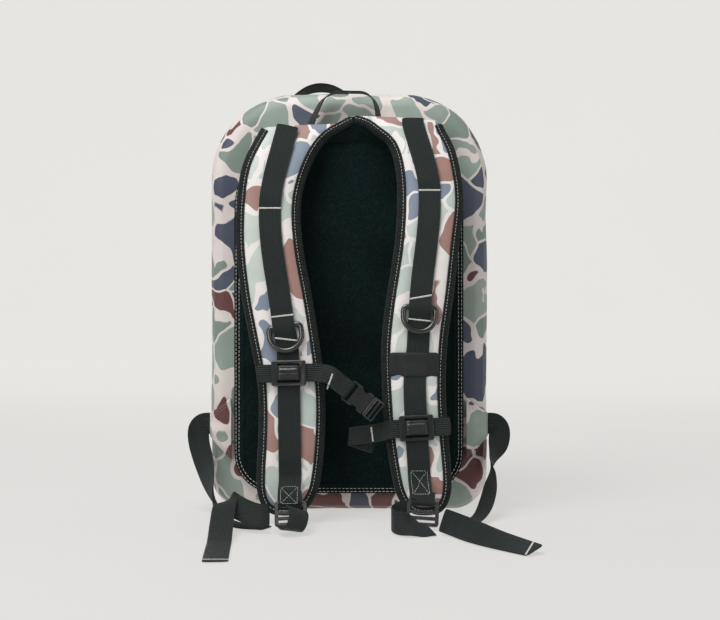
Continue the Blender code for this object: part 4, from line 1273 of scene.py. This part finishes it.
def round_bar(coming, going):
    """Webbing over a bar, round it and back under it, as (distance along, height) from the bar."""
    turns = [math.radians(90.0 + 30.0 * step) for step in range(7)]
    route = [(place, BAR_TURN) for place in coming]
    route += [(BAR_TURN * math.cos(turn), BAR_TURN * math.sin(turn)) for turn in turns]
    return route + [(place, -BAR_TURN) for place in going]


def strap_web_stations(strap):
    """The webbing's way down the strap: off its face, pulled in at each tack, and round the lock's bar."""
    side = strap.side
    solid = tree_of(frame["nodes"]["strap_webbing_" + side])
    seam = top_edge(web_x(side, 0.45)) - 0.0002
    leave = WEB_LEAVES[side]
    lowest, highest = 0.0365, 0.4420  # where the CAD webbing has a clean front
    count = 110
    stations = []
    for step in range(count + 1):
        z = seam - (seam - leave) * step / count
        x = web_x(side, z)
        level = min(max(z, lowest), highest)
        slack = 0.0
        for tack in TACKS[side]:
            away = (z - tack) / DIP_HIGH
            slack += DIP * away * math.exp(1.0 - away) if away > 0.0 else 0.0
        bow = front_y(solid, x, level, strap.low.y) + max(z - level, 0.0) * RISE_SLOPE
        face = strap.surface(x, z) - WEB_LIFT - slack
        stations.append((Vector((x, min(bow, face), z)), strap_across(side, z)))
    for (point, _), y in zip(stations, smoothed([point.y for point, _ in stations], 2)):
        point.y = y
    lock = lock_frame(side)
    across = lock.col[0].to_3d()
    end = stations[-1][0]
    stations.append((Vector((end.x, end.y - 0.0035, end.z - 0.0035)), across))
    for along, out in round_bar((0.014, 0.006), (0.005, 0.010)):
        stations.append((lock @ Vector((0.0, along, out)), across))
    return stations


def build_strap_webbing(strap, threads):
    """The webbing down the strap, with its tacks and the crossed box at its end."""
    side = strap.side
    rows = through(strap_web_stations(strap), pitch=0.003)
    tree = tree_of(web_piece("strap_webbing_cloth_" + side, rows, strap.body, "strap_webbing_" + side))

    def on_webbing(x, z):
        """A place for a stitch on the webbing."""
        return laid_on(tree, x, z, -0.15, LOW_STITCH)

    reach = WEB_WIDE / 2 - 0.0004
    for z, lean in zip(TACKS[side], TACK_LEAN[side]):
        x = web_x(side, z)
        threads.tack(on_webbing(x - reach, z - lean / 2), on_webbing(x + reach, z + lean / 2), TO_WEARER)
    high, low = BOX_LEVELS[side]
    corners = []
    for z, share in ((high, -0.36), (high, 0.36), (low, 0.36), (low, -0.36)):
        corners.append(on_webbing(web_x(side, z) + share * WEB_WIDE, z))
    route = [corners[number] for number in (0, 1, 2, 3, 0, 2, 3, 1)]
    for near, far in zip(route, route[1:]):
        places = [near.lerp(far, step / 8) for step in range(9)]
        line = [(on_webbing(place.x, place.z), TO_WEARER) for place in places]
        threads.dashes(line, pitch=0.0027, length=0.0020, radius=0.00022)


def build_patch(strap):
    """The blank moulded patch sewn across the right strap."""
    low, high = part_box("blank_patch")
    solid = tree_of(frame["nodes"]["blank_patch"])
    webbed = tree_of(bpy.data.objects["strap_webbing_cloth_right"])
    centre_x = (low.x + high.x) / 2
    centre_z = (low.z + high.z) / 2 - 0.0008
    half_x = (high.x - low.x) / 2
    half_z = 0.0137
    rows = []
    for row in range(13):
        v = -1.0 + 2.0 * row / 12
        line = []
        for column in range(31):
            u = -1.0 + 2.0 * column / 30
            corner = max(0.0, (abs(u) - 0.86) / 0.14) * max(0.0, (abs(v) - 0.72) / 0.28)
            x = centre_x + u * half_x * (1.0 - 0.05 * corner)
            z = centre_z + v * half_z * (1.0 - 0.10 * corner)
            edge = max(0.0, (abs(u) - 0.93) / 0.07) + max(0.0, (abs(v) - 0.86) / 0.14)
            under = min(strap.surface(x, z), front_y(solid, x, centre_z, low.y) + 0.0004)
            over = webbed.ray_cast(Vector((x, BEFORE_ALL, z)), FROM_WEARER)[0]
            if over is not None:
                under = min(under, over.y)
            line.append(Vector((x, under - 0.0012 + 0.0007 * min(edge, 1.0), z)))
        rows.append(line)
    made = sheet_grid("blank_patch_rubber", rows, MATERIALS["rubber"])
    soften(thicken(made, 0.0012))
    settle(made, "strap_right", "blank_patch", slot="patch_rubber")


def ring_path():
    """The middle of a D-ring's section, as (distance along the bar, drop below it)."""
    half, leg, corner = 0.0180, 0.0100, 0.0045
    path = []
    for start, place in ((180.0, -half + corner), (90.0, half - corner)):
        for step in range(9):
            angle = math.radians(start - 90.0 * step / 8)
            path.append((place + corner * math.cos(angle), corner - corner * math.sin(angle)))
    for step in range(37):
        angle = math.radians(180.0 * step / 36)
        path.append((half * math.cos(angle), leg + half * math.sin(angle)))
    return path


def build_ring(side):
    """A moulded D-ring, its bar under the webbing, its section a little flattened."""
    node = frame["nodes"]["d_ring_" + side]
    joint = [item for item in frame["joints"] if item["name"] == f"ring_{side}_swing"][0]
    origin = Vector(joint["pos_m"])
    x = -Vector(joint["axis"]).normalized()
    middle = sum((vertex.co for vertex in node.data.vertices), Vector()) / len(node.data.vertices)
    down = middle - origin
    down = (down - x * down.dot(x)).normalized()
    out = x.cross(-down).normalized()
    path = ring_path()
    sides = 16
    wide, flat = 0.0030, 0.0023  # half the section in the ring's plane, and out of it
    points = []
    for index, (along, drop) in enumerate(path):
        after = path[(index + 1) % len(path)]
        before = path[index - 1]
        ahead = Vector((after[0] - before[0], after[1] - before[1])).normalized()
        spread = x * ahead.y - down * ahead.x
        for turn in range(sides):
            angle = 2 * math.pi * turn / sides
            offset = spread * wide * math.cos(angle) + out * flat * math.sin(angle)
            points.append(origin + x * along + down * drop + offset)
    faces = []
    for face in band_faces(len(path) + 1, sides, True):
        faces.append(tuple(index % len(points) for index in face))
    made = piece("d_ring_nylon_" + side, points, faces, MATERIALS["ring"])
    settle(made, "ring_" + side, "d_ring_" + side, slot="ring_nylon")


YOKE_LEFT = -0.0955
YOKE_RIGHT = 0.1050
YOKE_BACK = -0.0858  # where the yoke meets the shell


def build_yoke():
    """The camouflage cloth from the straps' top edge back to the shell."""
    faces = tree_of(bpy.data.objects["strap_camo_left"], bpy.data.objects["strap_camo_right"])
    across = [YOKE_LEFT + (YOKE_RIGHT - YOKE_LEFT) * column / 80 for column in range(81)]
    fronts = smoothed([front_y(faces, x, top_edge(x) - 0.0010, -0.1180) for x in across], 6)
    rows = []
    for step in range(13):
        back = step / 12
        row = []
        for x, front in zip(across, fronts):
            y = front + 0.0004 + (YOKE_BACK - front) * back
            ripple = noise.noise(Vector((x * 34.0, 7.0, back * 3.0))) * 0.0008 * math.sin(math.pi * back)
            end = min(x - YOKE_LEFT, YOKE_RIGHT - x)
            drop = 0.0004 + 0.0022 * max(0.0, 1.0 - end / 0.012)
            z = top_edge(x) - drop + 0.0022 * math.sin(math.pi / 2 * back) + ripple
            row.append(Vector((x, y, z)))
        rows.append(row)
    made = sheet_grid("strap_yoke_cloth", rows, MATERIALS["strap"])
    soften(thicken(made, 0.0010))
    settle(made, "pack", "strap_yoke", slot="strap_camo_cloth")


def build_neck_shade_lining():
    """A black mesh sheet inside the neck arch, behind the straps' top edge: painted shade that fills the dark
    under the arch, taken for the yoke's black lining.
    """
    foot = 0.4300
    rows = []
    for step in range(9):
        climb = step / 8
        left = -0.0400 + 0.0300 * climb
        right = 0.0540 - 0.0320 * climb
        y = -0.0975 - 0.0115 * climb - 0.0025 * math.sin(math.pi * climb)
        row = []
        for column in range(31):
            share = column / 30
            x = left * (1.0 - share) + right * share
            row.append(Vector((x, y, foot + (top_edge(x) - 0.0030 - foot) * climb)))
        rows.append(row)
    # The sheet stands in for the shade under the neck arch.
    lining = sheet_grid("neck_shade_lining_mesh", rows, MATERIALS["panel"])
    soften(thicken(lining, 0.0010, inward=False))
    settle(lining, "pack", slot="black_mesh")


# ---------------------------------------------------------------- sternum strap and buckle

# Each sternum slider's middle, the direction along its webbing and the direction it faces
SLIDER = {
    "left": ((-0.06585, -0.16543, 0.16543), (0.99973, 0.00288, 0.02304), (0.0, -0.99229, 0.12395)),
    "right": ((0.07511, -0.17266, 0.10555), (0.99862, 0.00626, 0.05217), (0.0, -0.99288, 0.11915)),
}
# Places along each slider that its webbing goes through
SLIDER_STEPS = {
    "left": (-0.036, -0.024, -0.012, 0.0, 0.012, 0.0200, 0.0265),
    "right": (0.038, 0.026, 0.012, 0.0, -0.012, -0.0200, -0.0265),
}
# The right webbing past its slider, folded back behind itself, as (centre, direction across)
STERNUM_TIP = (
    ((0.0330, -0.1690, 0.1000), (0.10, 0.0, 1.0)), ((0.0200, -0.1620, 0.0975), (0.10, 0.0, 1.0)),
    ((0.0060, -0.1575, 0.0955), (0.10, 0.0, 1.0)), ((0.0006, -0.1545, 0.0945), (0.10, 0.0, 1.0)),
    ((0.0045, -0.1510, 0.0930), (0.10, 0.0, 1.0)), ((0.0180, -0.1490, 0.0880), (0.30, 0.0, 1.0)),
    ((0.0300, -0.1480, 0.0840), (0.35, 0.0, 1.0)),
)
# Each sternum tack: the seed of its thread, its middle in X and Z, and the direction along it
STERNUM_TACK = {
    "left": (31, (-0.0201, 0.0, 0.1571), (0.34, 0.0, 0.94)),
    "right": (32, (0.0267, 0.0, 0.0966), (0.14, 0.0, -1.0)),
}
STERNUM_TACK_WIDE = 0.0182
BUCKLE_PLACE = (-0.0010, -0.1790, 0.1490)
BUCKLE_TILT = math.radians(38.0)


def refine(node, finish, bevel=0.0005):
    """Merge a CAD node's facets, round its edges and give it a moulded or metal material."""
    made = frame["nodes"][node]
    weld = made.modifiers.new("Weld", "WELD")
    weld.merge_threshold = 0.00002
    flat = made.modifiers.new("Flat", "DECIMATE")
    flat.decimate_type = "DISSOLVE"
    flat.angle_limit = math.radians(1.5)
    rounded = made.modifiers.new("Rounded", "BEVEL")
    rounded.width = bevel
    rounded.segments = 2
    rounded.limit_method = "ANGLE"
    rounded.angle_limit = math.radians(32.0)
    rounded.harden_normals = False
    made.data.materials.clear()
    made.data.materials.append(MATERIALS[finish])
    return made


def build_barrel(side):
    """The raised, ridged middle of a sternum slider."""
    slider = frame_from(*SLIDER[side])
    half_wide, half_tall = 0.0122, 0.0088
    foot = 0.0058
    rows = []
    for step in range(37):
        angle = math.pi * step / 36
        ridge = 0.00035 * math.cos(10.0 * angle)
        row = []
        for column in range(17):
            share = -1.0 + column / 8
            end = max(0.0, (abs(share) - 0.80) / 0.20)
            high = (0.0050 + ridge) * math.sqrt(max(0.0, 1.0 - (end * 0.85) ** 2))
            y = half_tall * math.cos(angle) * (1.0 - 0.08 * end)
            row.append(slider @ Vector((share * half_wide, y, foot + high * math.sin(angle) ** 0.6)))
        rows.append(row)
    made = sheet_grid("slider_barrel_" + side, rows, MATERIALS["plastic"])
    settle(soften(thicken(made, 0.0010)), "sternum_" + side)


def sternum_stations(side):
    """A sternum webbing's way: through its slider, then round the buckle's bar or to its folded end."""
    slider = frame_from(*SLIDER[side])
    up = slider.col[1].to_3d()
    stations = [(slider @ Vector((x, 0.0, 0.0026)), up) for x in SLIDER_STEPS[side]]
    if side == "right":
        return stations + stations_of(STERNUM_TIP)
    buckle = frame_from(BUCKLE_PLACE, (math.cos(BUCKLE_TILT), 0.0, -math.sin(BUCKLE_TILT)), TO_WEARER)
    across = buckle.col[1].to_3d()
    stations.append((buckle @ Vector((-0.026, 0.0, BAR_TURN)), up * 0.35 + across * 0.65))
    for along, height in round_bar((0.014, 0.005), (0.006, 0.012)):
        stations.append((buckle @ Vector((0.00155 - along, 0.0, height)), across))
    return stations


def build_sternum():
    """The sliders, the two halves of the buckle, and the webbings with their tacks."""
    for side in SIDES:
        refine("sternum_slider_" + side, "plastic")
        build_barrel(side)
    for node in ("buckle_female", "buckle_male"):
        refine(node, "plastic", bevel=0.0004)
    for side in SIDES:
        body = "sternum_" + side
        made = web_piece(
            "sternum_webbing_cloth_" + side, through(sternum_stations(side), pitch=0.003), body,
            "sternum_webbing_" + side, wide=STERNUM_WIDE, finish="sternum")
        seed, middle, along = STERNUM_TACK[side]
        threads = Threads(seed)
        tack_across(threads, tree_of(made), Vector(middle), Vector(along).normalized())
        threads.finish("sternum_tack_" + side, body)


def tack_across(threads, tree, middle, along):
    """A bar tack over the front of a sternum webbing, through a middle point."""
    places = []
    for step in range(7):
        place = middle + along * STERNUM_TACK_WIDE * (step / 6 - 0.5)
        places.append(laid_on(tree, place.x, place.z, -0.17, LOW_STITCH))
    for near, far in zip(places, places[1:]):
        threads.tack(near, far, TO_WEARER)


# ---------------------------------------------------------------- lower webbing, locks and tails

# The ways of the webbings below the straps, as (centre, direction across): from the wings down to the
# ground and in to the straps, the free tails past the locks, and the loops round the locks
LOWER_PATH = {
    "left": [
        ((-0.1685, -0.0790, 0.1022), (0, 0, 1)), ((-0.1715, -0.0795, 0.1020), (0, 0, 1)),
        ((-0.1760, -0.0825, 0.0960), (-0.62, 0, 0.78)), ((-0.1750, -0.0870, 0.0800), (-1, 0.15, 0.1)),
        ((-0.1700, -0.0930, 0.0640), (-0.95, 0.3, 0)), ((-0.1640, -0.1030, 0.0470), (-0.75, 0.65, -0.1)),
        ((-0.1570, -0.1200, 0.0320), (-0.4, 0.85, -0.3)), ((-0.1480, -0.1460, 0.0190), (0.1, 0.9, -0.42)),
        ((-0.1370, -0.1720, 0.0085), (0.5, 0.8, -0.3)), ((-0.1200, -0.1920, 0.0022), (0.6, 0.8, 0)),
        ((-0.0860, -0.2080, 0.0014), (0.2, 1, 0)),
    ],
    "right": [
        ((0.1685, -0.0790, 0.1022), (0, 0, 1)), ((0.1715, -0.0795, 0.1020), (0, 0, 1)),
        ((0.1760, -0.0825, 0.0960), (0.62, 0, 0.78)), ((0.1748, -0.0870, 0.0800), (0.95, 0.25, 0.15)),
        ((0.1665, -0.0940, 0.0610), (0.4, 0.92, -0.05)), ((0.1635, -0.1060, 0.0420), (-0.3, 0.93, -0.15)),
        ((0.1585, -0.1270, 0.0230), (-0.65, 0.7, -0.3)), ((0.1480, -0.1550, 0.0080), (-0.65, 0.72, -0.22)),
        ((0.1290, -0.1860, 0.0020), (-0.5, 0.87, 0)), ((0.1060, -0.2080, 0.0014), (-0.2, 1, 0)),
    ],
}
TAIL_PATH = {
    "left": [
        ((-0.0820, -0.2330, 0.0190), (0, 0.1, 1)), ((-0.0920, -0.2345, 0.0190), (0, 0.1, 1)),
        ((-0.1030, -0.2300, 0.0210), (0, 0.2, 1)), ((-0.1200, -0.2150, 0.0260), (0.3, 0.3, 0.9)),
        ((-0.1290, -0.2040, 0.0300), (0.8, 0.3, 0.5)), ((-0.1310, -0.2200, 0.0290), (1, 0, 0.1)),
        ((-0.1310, -0.2500, 0.0150), (1, 0, 0)), ((-0.1290, -0.2900, 0.0030), (1, 0, 0)),
        ((-0.1260, -0.3400, 0.0012), (1, 0, 0)), ((-0.1225, -0.3880, 0.0012), (1, 0, 0)),
    ],
    "right": [
        ((0.0990, -0.2360, 0.0150), (0.1, 0.4, 0.9)), ((0.1060, -0.2460, 0.0140), (0.15, 0.42, 0.88)),
        ((0.1150, -0.2620, 0.0128), (0.2, 0.47, 0.86)), ((0.1280, -0.2840, 0.0110), (0.27, 0.6, 0.75)),
        ((0.1490, -0.3130, 0.0080), (0.37, 0.76, 0.53)), ((0.1820, -0.3520, 0.0046), (0.42, 0.85, 0.30)),
    ],
}
LOCK_LOOP = {
    "left": [
        ((-0.0560, -0.2140, 0.0235), (0.72, 0.6, -0.33)), ((-0.0530, -0.2260, 0.0240), (0.72, 0.6, -0.33)),
        ((-0.0515, -0.2390, 0.0220), (0.72, 0.6, -0.33)), ((-0.0520, -0.2500, 0.0160), (0.72, 0.6, -0.33)),
        ((-0.0545, -0.2530, 0.0095), (0.75, 0.6, -0.28)), ((-0.0580, -0.2480, 0.0058), (0.8, 0.55, -0.2)),
        ((-0.0620, -0.2360, 0.0050), (0.8, 0.55, -0.2)), ((-0.0660, -0.2260, 0.0060), (0.8, 0.55, -0.2)),
    ],
    "right": [
        ((0.0640, -0.2085, 0.0195), (0.1, 0.15, 1)), ((0.0560, -0.2130, 0.0185), (0.05, 0.1, 1)),
        ((0.0490, -0.2210, 0.0165), (0, 0.05, 1)), ((0.0465, -0.2320, 0.0147), (0, 0, 1)),
        ((0.0500, -0.2420, 0.0137), (0, 0.05, 1)), ((0.0590, -0.2480, 0.0124), (0.05, 0.35, 0.9)),
        ((0.0690, -0.2490, 0.0094), (0.15, 0.75, 0.55)), ((0.0790, -0.2460, 0.0060), (0.25, 0.9, 0.25)),
        ((0.0880, -0.2410, 0.0054), (0.3, 0.9, 0.22)),
    ],
}
# Across a wing tab, from the shell outwards: distance from the middle plane, Y, bottom and top
WING_ROWS = (
    (0.1365, -0.0925, 0.0610, 0.1340), (0.1450, -0.0925, 0.0690, 0.1270), (0.1540, -0.0905, 0.0785, 0.1205),
    (0.1605, -0.0870, 0.0855, 0.1170), (0.1628, -0.0840, 0.0880, 0.1155),
)


def build_lower_webbing(side):
    """The webbing from the wing tab down to the ground and in to the strap."""
    sign = SIGN[side]
    stations = [(Vector((sign * 0.1592, -0.0792, 0.1022)), UP)] + stations_of(LOWER_PATH[side])
    made = ribbon("lower_webbing_cloth_" + side, through(stations), WEB_WIDE, WEB_THICK, MATERIALS["webbing"])
    soften(made)
    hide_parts("lower_webbing_" + side)
    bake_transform(made)


def build_lock(side):
    """The ladder-lock with its loop of webbing and the free tail, tacked near its end."""
    body = "lock_" + side
    refine("ladder_lock_" + side, "plastic")
    rows = through(stations_of(TAIL_PATH[side]))
    web_piece("adjuster_tail_cloth_" + side, rows, body, "adjuster_tail_" + side)
    loop = through(stations_of(LOCK_LOOP[side]), pitch=0.002)
    web_piece("lock_loop_cloth_" + side, loop, body, wide=0.0245)
    end, across = rows[-3]
    out = row_frame(rows, len(rows) - 3)[2]
    out = out if out.z > 0.0 else -out
    reach = across * 0.0122
    lift = out * 0.0009
    threads = Threads(41)
    threads.tack(end - reach + lift, end + reach + lift, out)
    threads.finish("adjuster_tail_tack_" + side, body)


def build_wing_tab(side):
    """The stiff tab that holds the lower webbing, with two rows of stitches at each edge."""
    sign = SIGN[side]
    wing = [np.array(row) for row in WING_ROWS]
    rows = []
    for step in range(25):
        place = step / 24 * (len(wing) - 1)
        index = min(int(place), len(wing) - 2)
        x, y, low, high = wing[index] + (wing[index + 1] - wing[index]) * (place - index)
        row = []
        for column in range(19):
            share = column / 18
            z = low + (high - low) * share
            fold = noise.noise(Vector((x * 40.0 * sign, 11.0, z * 90.0))) * 0.0018
            row.append(Vector((sign * x, y - 0.0006 + fold * math.sin(math.pi * share), z)))
        rows.append(row)
    tab = soften(thicken(sheet_grid("wing_tab_cloth_" + side, rows, MATERIALS["bag"]), 0.0020))
    settle(tab, "pack", "wing_tab_" + side, slot="camo_cloth")
    tree = tree_of(tab)
    threads = Threads(51)
    for inset in (0.0030, 0.0065):
        bottom = [(x, low + inset) for x, _, low, _ in WING_ROWS[:-1]]
        top = [(x, high - inset) for x, _, _, high in WING_ROWS[:-1]]
        for edge in (bottom, top):
            line = [(laid_on(tree, sign * x, z, -0.09, HIGH_STITCH), TO_WEARER) for x, z in edge]
            threads.dashes(line, pitch=0.0036, length=0.0025, radius=0.00022)
    # These stitches take the darker copy of the white thread, painted shade.
    threads.finish("wing_tab_stitches_" + side, "pack", "shaded_thread")


# ---------------------------------------------------------------- handles and side loops

# The haul loop over the neck: X, Z and the twist of its direction across
HAUL_LOOP = (
    (-0.0448, 0.4466, -0.60), (-0.0425, 0.4530, -0.60), (-0.0378, 0.4640, -0.50), (-0.0290, 0.4795, -0.30),
    (-0.0150, 0.4868, -0.08), (0.0040, 0.4872, 0.0), (0.0190, 0.4862, 0.06), (0.0285, 0.4790, 0.25),
    (0.0328, 0.4680, 0.38), (0.0345, 0.4560, 0.45),
)
# The grab handle on top of the shell: X and rise
GRAB_HANDLE = (
    (-0.093, 0.0), (-0.078, 0.0012), (-0.068, 0.010), (-0.053, 0.0190), (-0.037, 0.0225),
    (-0.020, 0.0200), (-0.002, 0.0110), (0.010, 0.0018), (0.024, 0.0),
)
# A loop on the shell's side: distance from its middle, and how far it stands off
SIDE_LOOP = ((-0.016, 0.0), (-0.009, 0.0), (-0.004, 0.0038), (0.004, 0.0038), (0.009, 0.0), (0.016, 0.0))


def build_handles():
    """The haul loop on the yoke, the grab handle on top and the small loops on the sides."""
    stations = [(Vector((x, -0.1015, z)), Vector((twist, 1.0, 0.0))) for x, z, twist in HAUL_LOOP]
    web_piece("haul_loop_cloth", through(stations), "pack", "haul_loop", wide=0.016, thick=0.0016)
    foot = SHELL_HIGH.z + 0.0010
    stations = [(Vector((x, 0.022, foot + up)), Vector((0.0, 1.0, -13.0 * up))) for x, up in GRAB_HANDLE]
    web_piece("grab_handle_cloth", through(stations), "pack", "grab_handle", thick=0.0020)
    for side in SIDES:
        low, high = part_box("side_loop_" + side)
        middle = (low.z + high.z) / 2
        stations = []
        for offset, stand in SIDE_LOOP:
            x = SIGN[side] * (SHELL_HIGH.x + 0.0012 + stand)
            stations.append((Vector((x, 0.012, middle + offset)), FROM_WEARER))
        web_piece(
            "side_loop_cloth_" + side, through(stations, pitch=0.002), "pack",
            "side_loop_" + side, wide=0.020, thick=0.0014)


# ---------------------------------------------------------------- stage, lights and camera

FLOOR_SHARE = 0.6  # of the paper's length that lies flat, before it curves up behind


def paper_material():
    """Pale paper, lit a little from within, less so before the object."""
    made, tree, shader = new_material("studio_paper", roughness=0.9, specular=0.1)
    point = object_point(tree)
    depth = add_node(tree, "SeparateXYZ", None, {0: point}).outputs["Y"]
    paint(tree, shader, cloud(tree, point, 3.0, 2.0), linear(120, 119, 118), linear(126, 125, 124))
    glow = mix_colour(tree, map_range(tree, depth, -0.2, 2.4), linear(193, 192, 190), linear(217, 216, 213))
    glow = mix_colour(tree, map_range(tree, depth, -1.3, -0.8), linear(60, 60, 60), glow)
    tree.links.new(glow, shader.inputs["Emission Color"])
    shader.inputs["Emission Strength"].default_value = 1.0
    return made


def build_stage():
    """A floor of paper that curves up into a wall."""
    near, corner, bend = -3.0, 2.0, 1.6
    rows = []
    for step in range(41):
        t = step / 40
        if t < FLOOR_SHARE:
            y, z = near + (corner - near) * t / FLOOR_SHARE, 0.0
        else:
            turn = (t - FLOOR_SHARE) / (1.0 - FLOOR_SHARE)
            angle = math.pi / 2 * turn
            y = corner + bend * math.sin(angle)
            z = bend * (1.0 - math.cos(angle)) + 2.0 * turn**3
        rows.append([Vector((x, y, z - 0.0002)) for x in (-4.0, -1.3, 1.3, 4.0)])
    sheet_grid("studio_floor", rows, paper_material())


def add_area(name, location, target, size, power):
    """A white softbox that faces a target."""
    light = bpy.data.lights.new(name, "AREA")
    light.shape = "RECTANGLE"
    light.size, light.size_y = size
    light.energy = power
    made = new_object(name, light)
    made.location = location
    made.rotation_euler = (Vector(target) - Vector(location)).to_track_quat("-Z", "Y").to_euler()


def build_lights():
    """Three softboxes in a pale grey room."""
    add_area("top_softbox", (-0.45, -0.75, 1.70), (0.0, -0.05, 0.20), size=(0.9, 0.8), power=20.0)
    add_area("front_softbox", (-1.2, -1.8, 1.1), (0.0, 0.0, 0.22), size=(1.1, 1.1), power=14.5)
    add_area("right_fill", (1.5, -1.3, 0.8), (0.0, 0.0, 0.22), size=(1.2, 1.2), power=6.0)
    world = bpy.data.worlds.new("studio")
    world.use_nodes = True
    room = world.node_tree.nodes["Background"]
    room.inputs[0].default_value = (0.80, 0.80, 0.79, 1.0)
    room.inputs[1].default_value = 0.36
    bpy.context.scene.world = world
    bpy.context.scene.view_settings.view_transform = "Standard"


def build_camera():
    """A level view of the wearer's side from half its height."""
    data = bpy.data.cameras.new("camera")
    data.sensor_width = 36.0
    data.lens = 64.1
    data.shift_y = -0.0056
    made = new_object("camera", data)
    made.location = (0.013, -1.585, 0.24)
    made.rotation_euler = (math.radians(90.0), 0.0, 0.0)
    bpy.context.scene.camera = made


build_camera()
build_lights()
build_stage()
build_shell()
build_main_zip()
build_pocket()
build_pocket_zip()
build_panel()
STRAPS = {side: build_strap(side) for side in SIDES}
build_patch(STRAPS["right"])
build_yoke()
build_neck_shade_lining()
build_sternum()
for side in SIDES:
    build_ring(side)
    build_lower_webbing(side)
    build_lock(side)
    build_wing_tab(side)
build_handles()
for node in ("main_zip_slider", "pocket_zip_slider"):
    refine(node, "metal", bevel=0.0003)
for node in ("main_zip_pull", "pocket_zip_pull"):
    refine(node, "plastic", bevel=0.0003)
refine("frame_sheet", "sheet", bevel=0.0003)
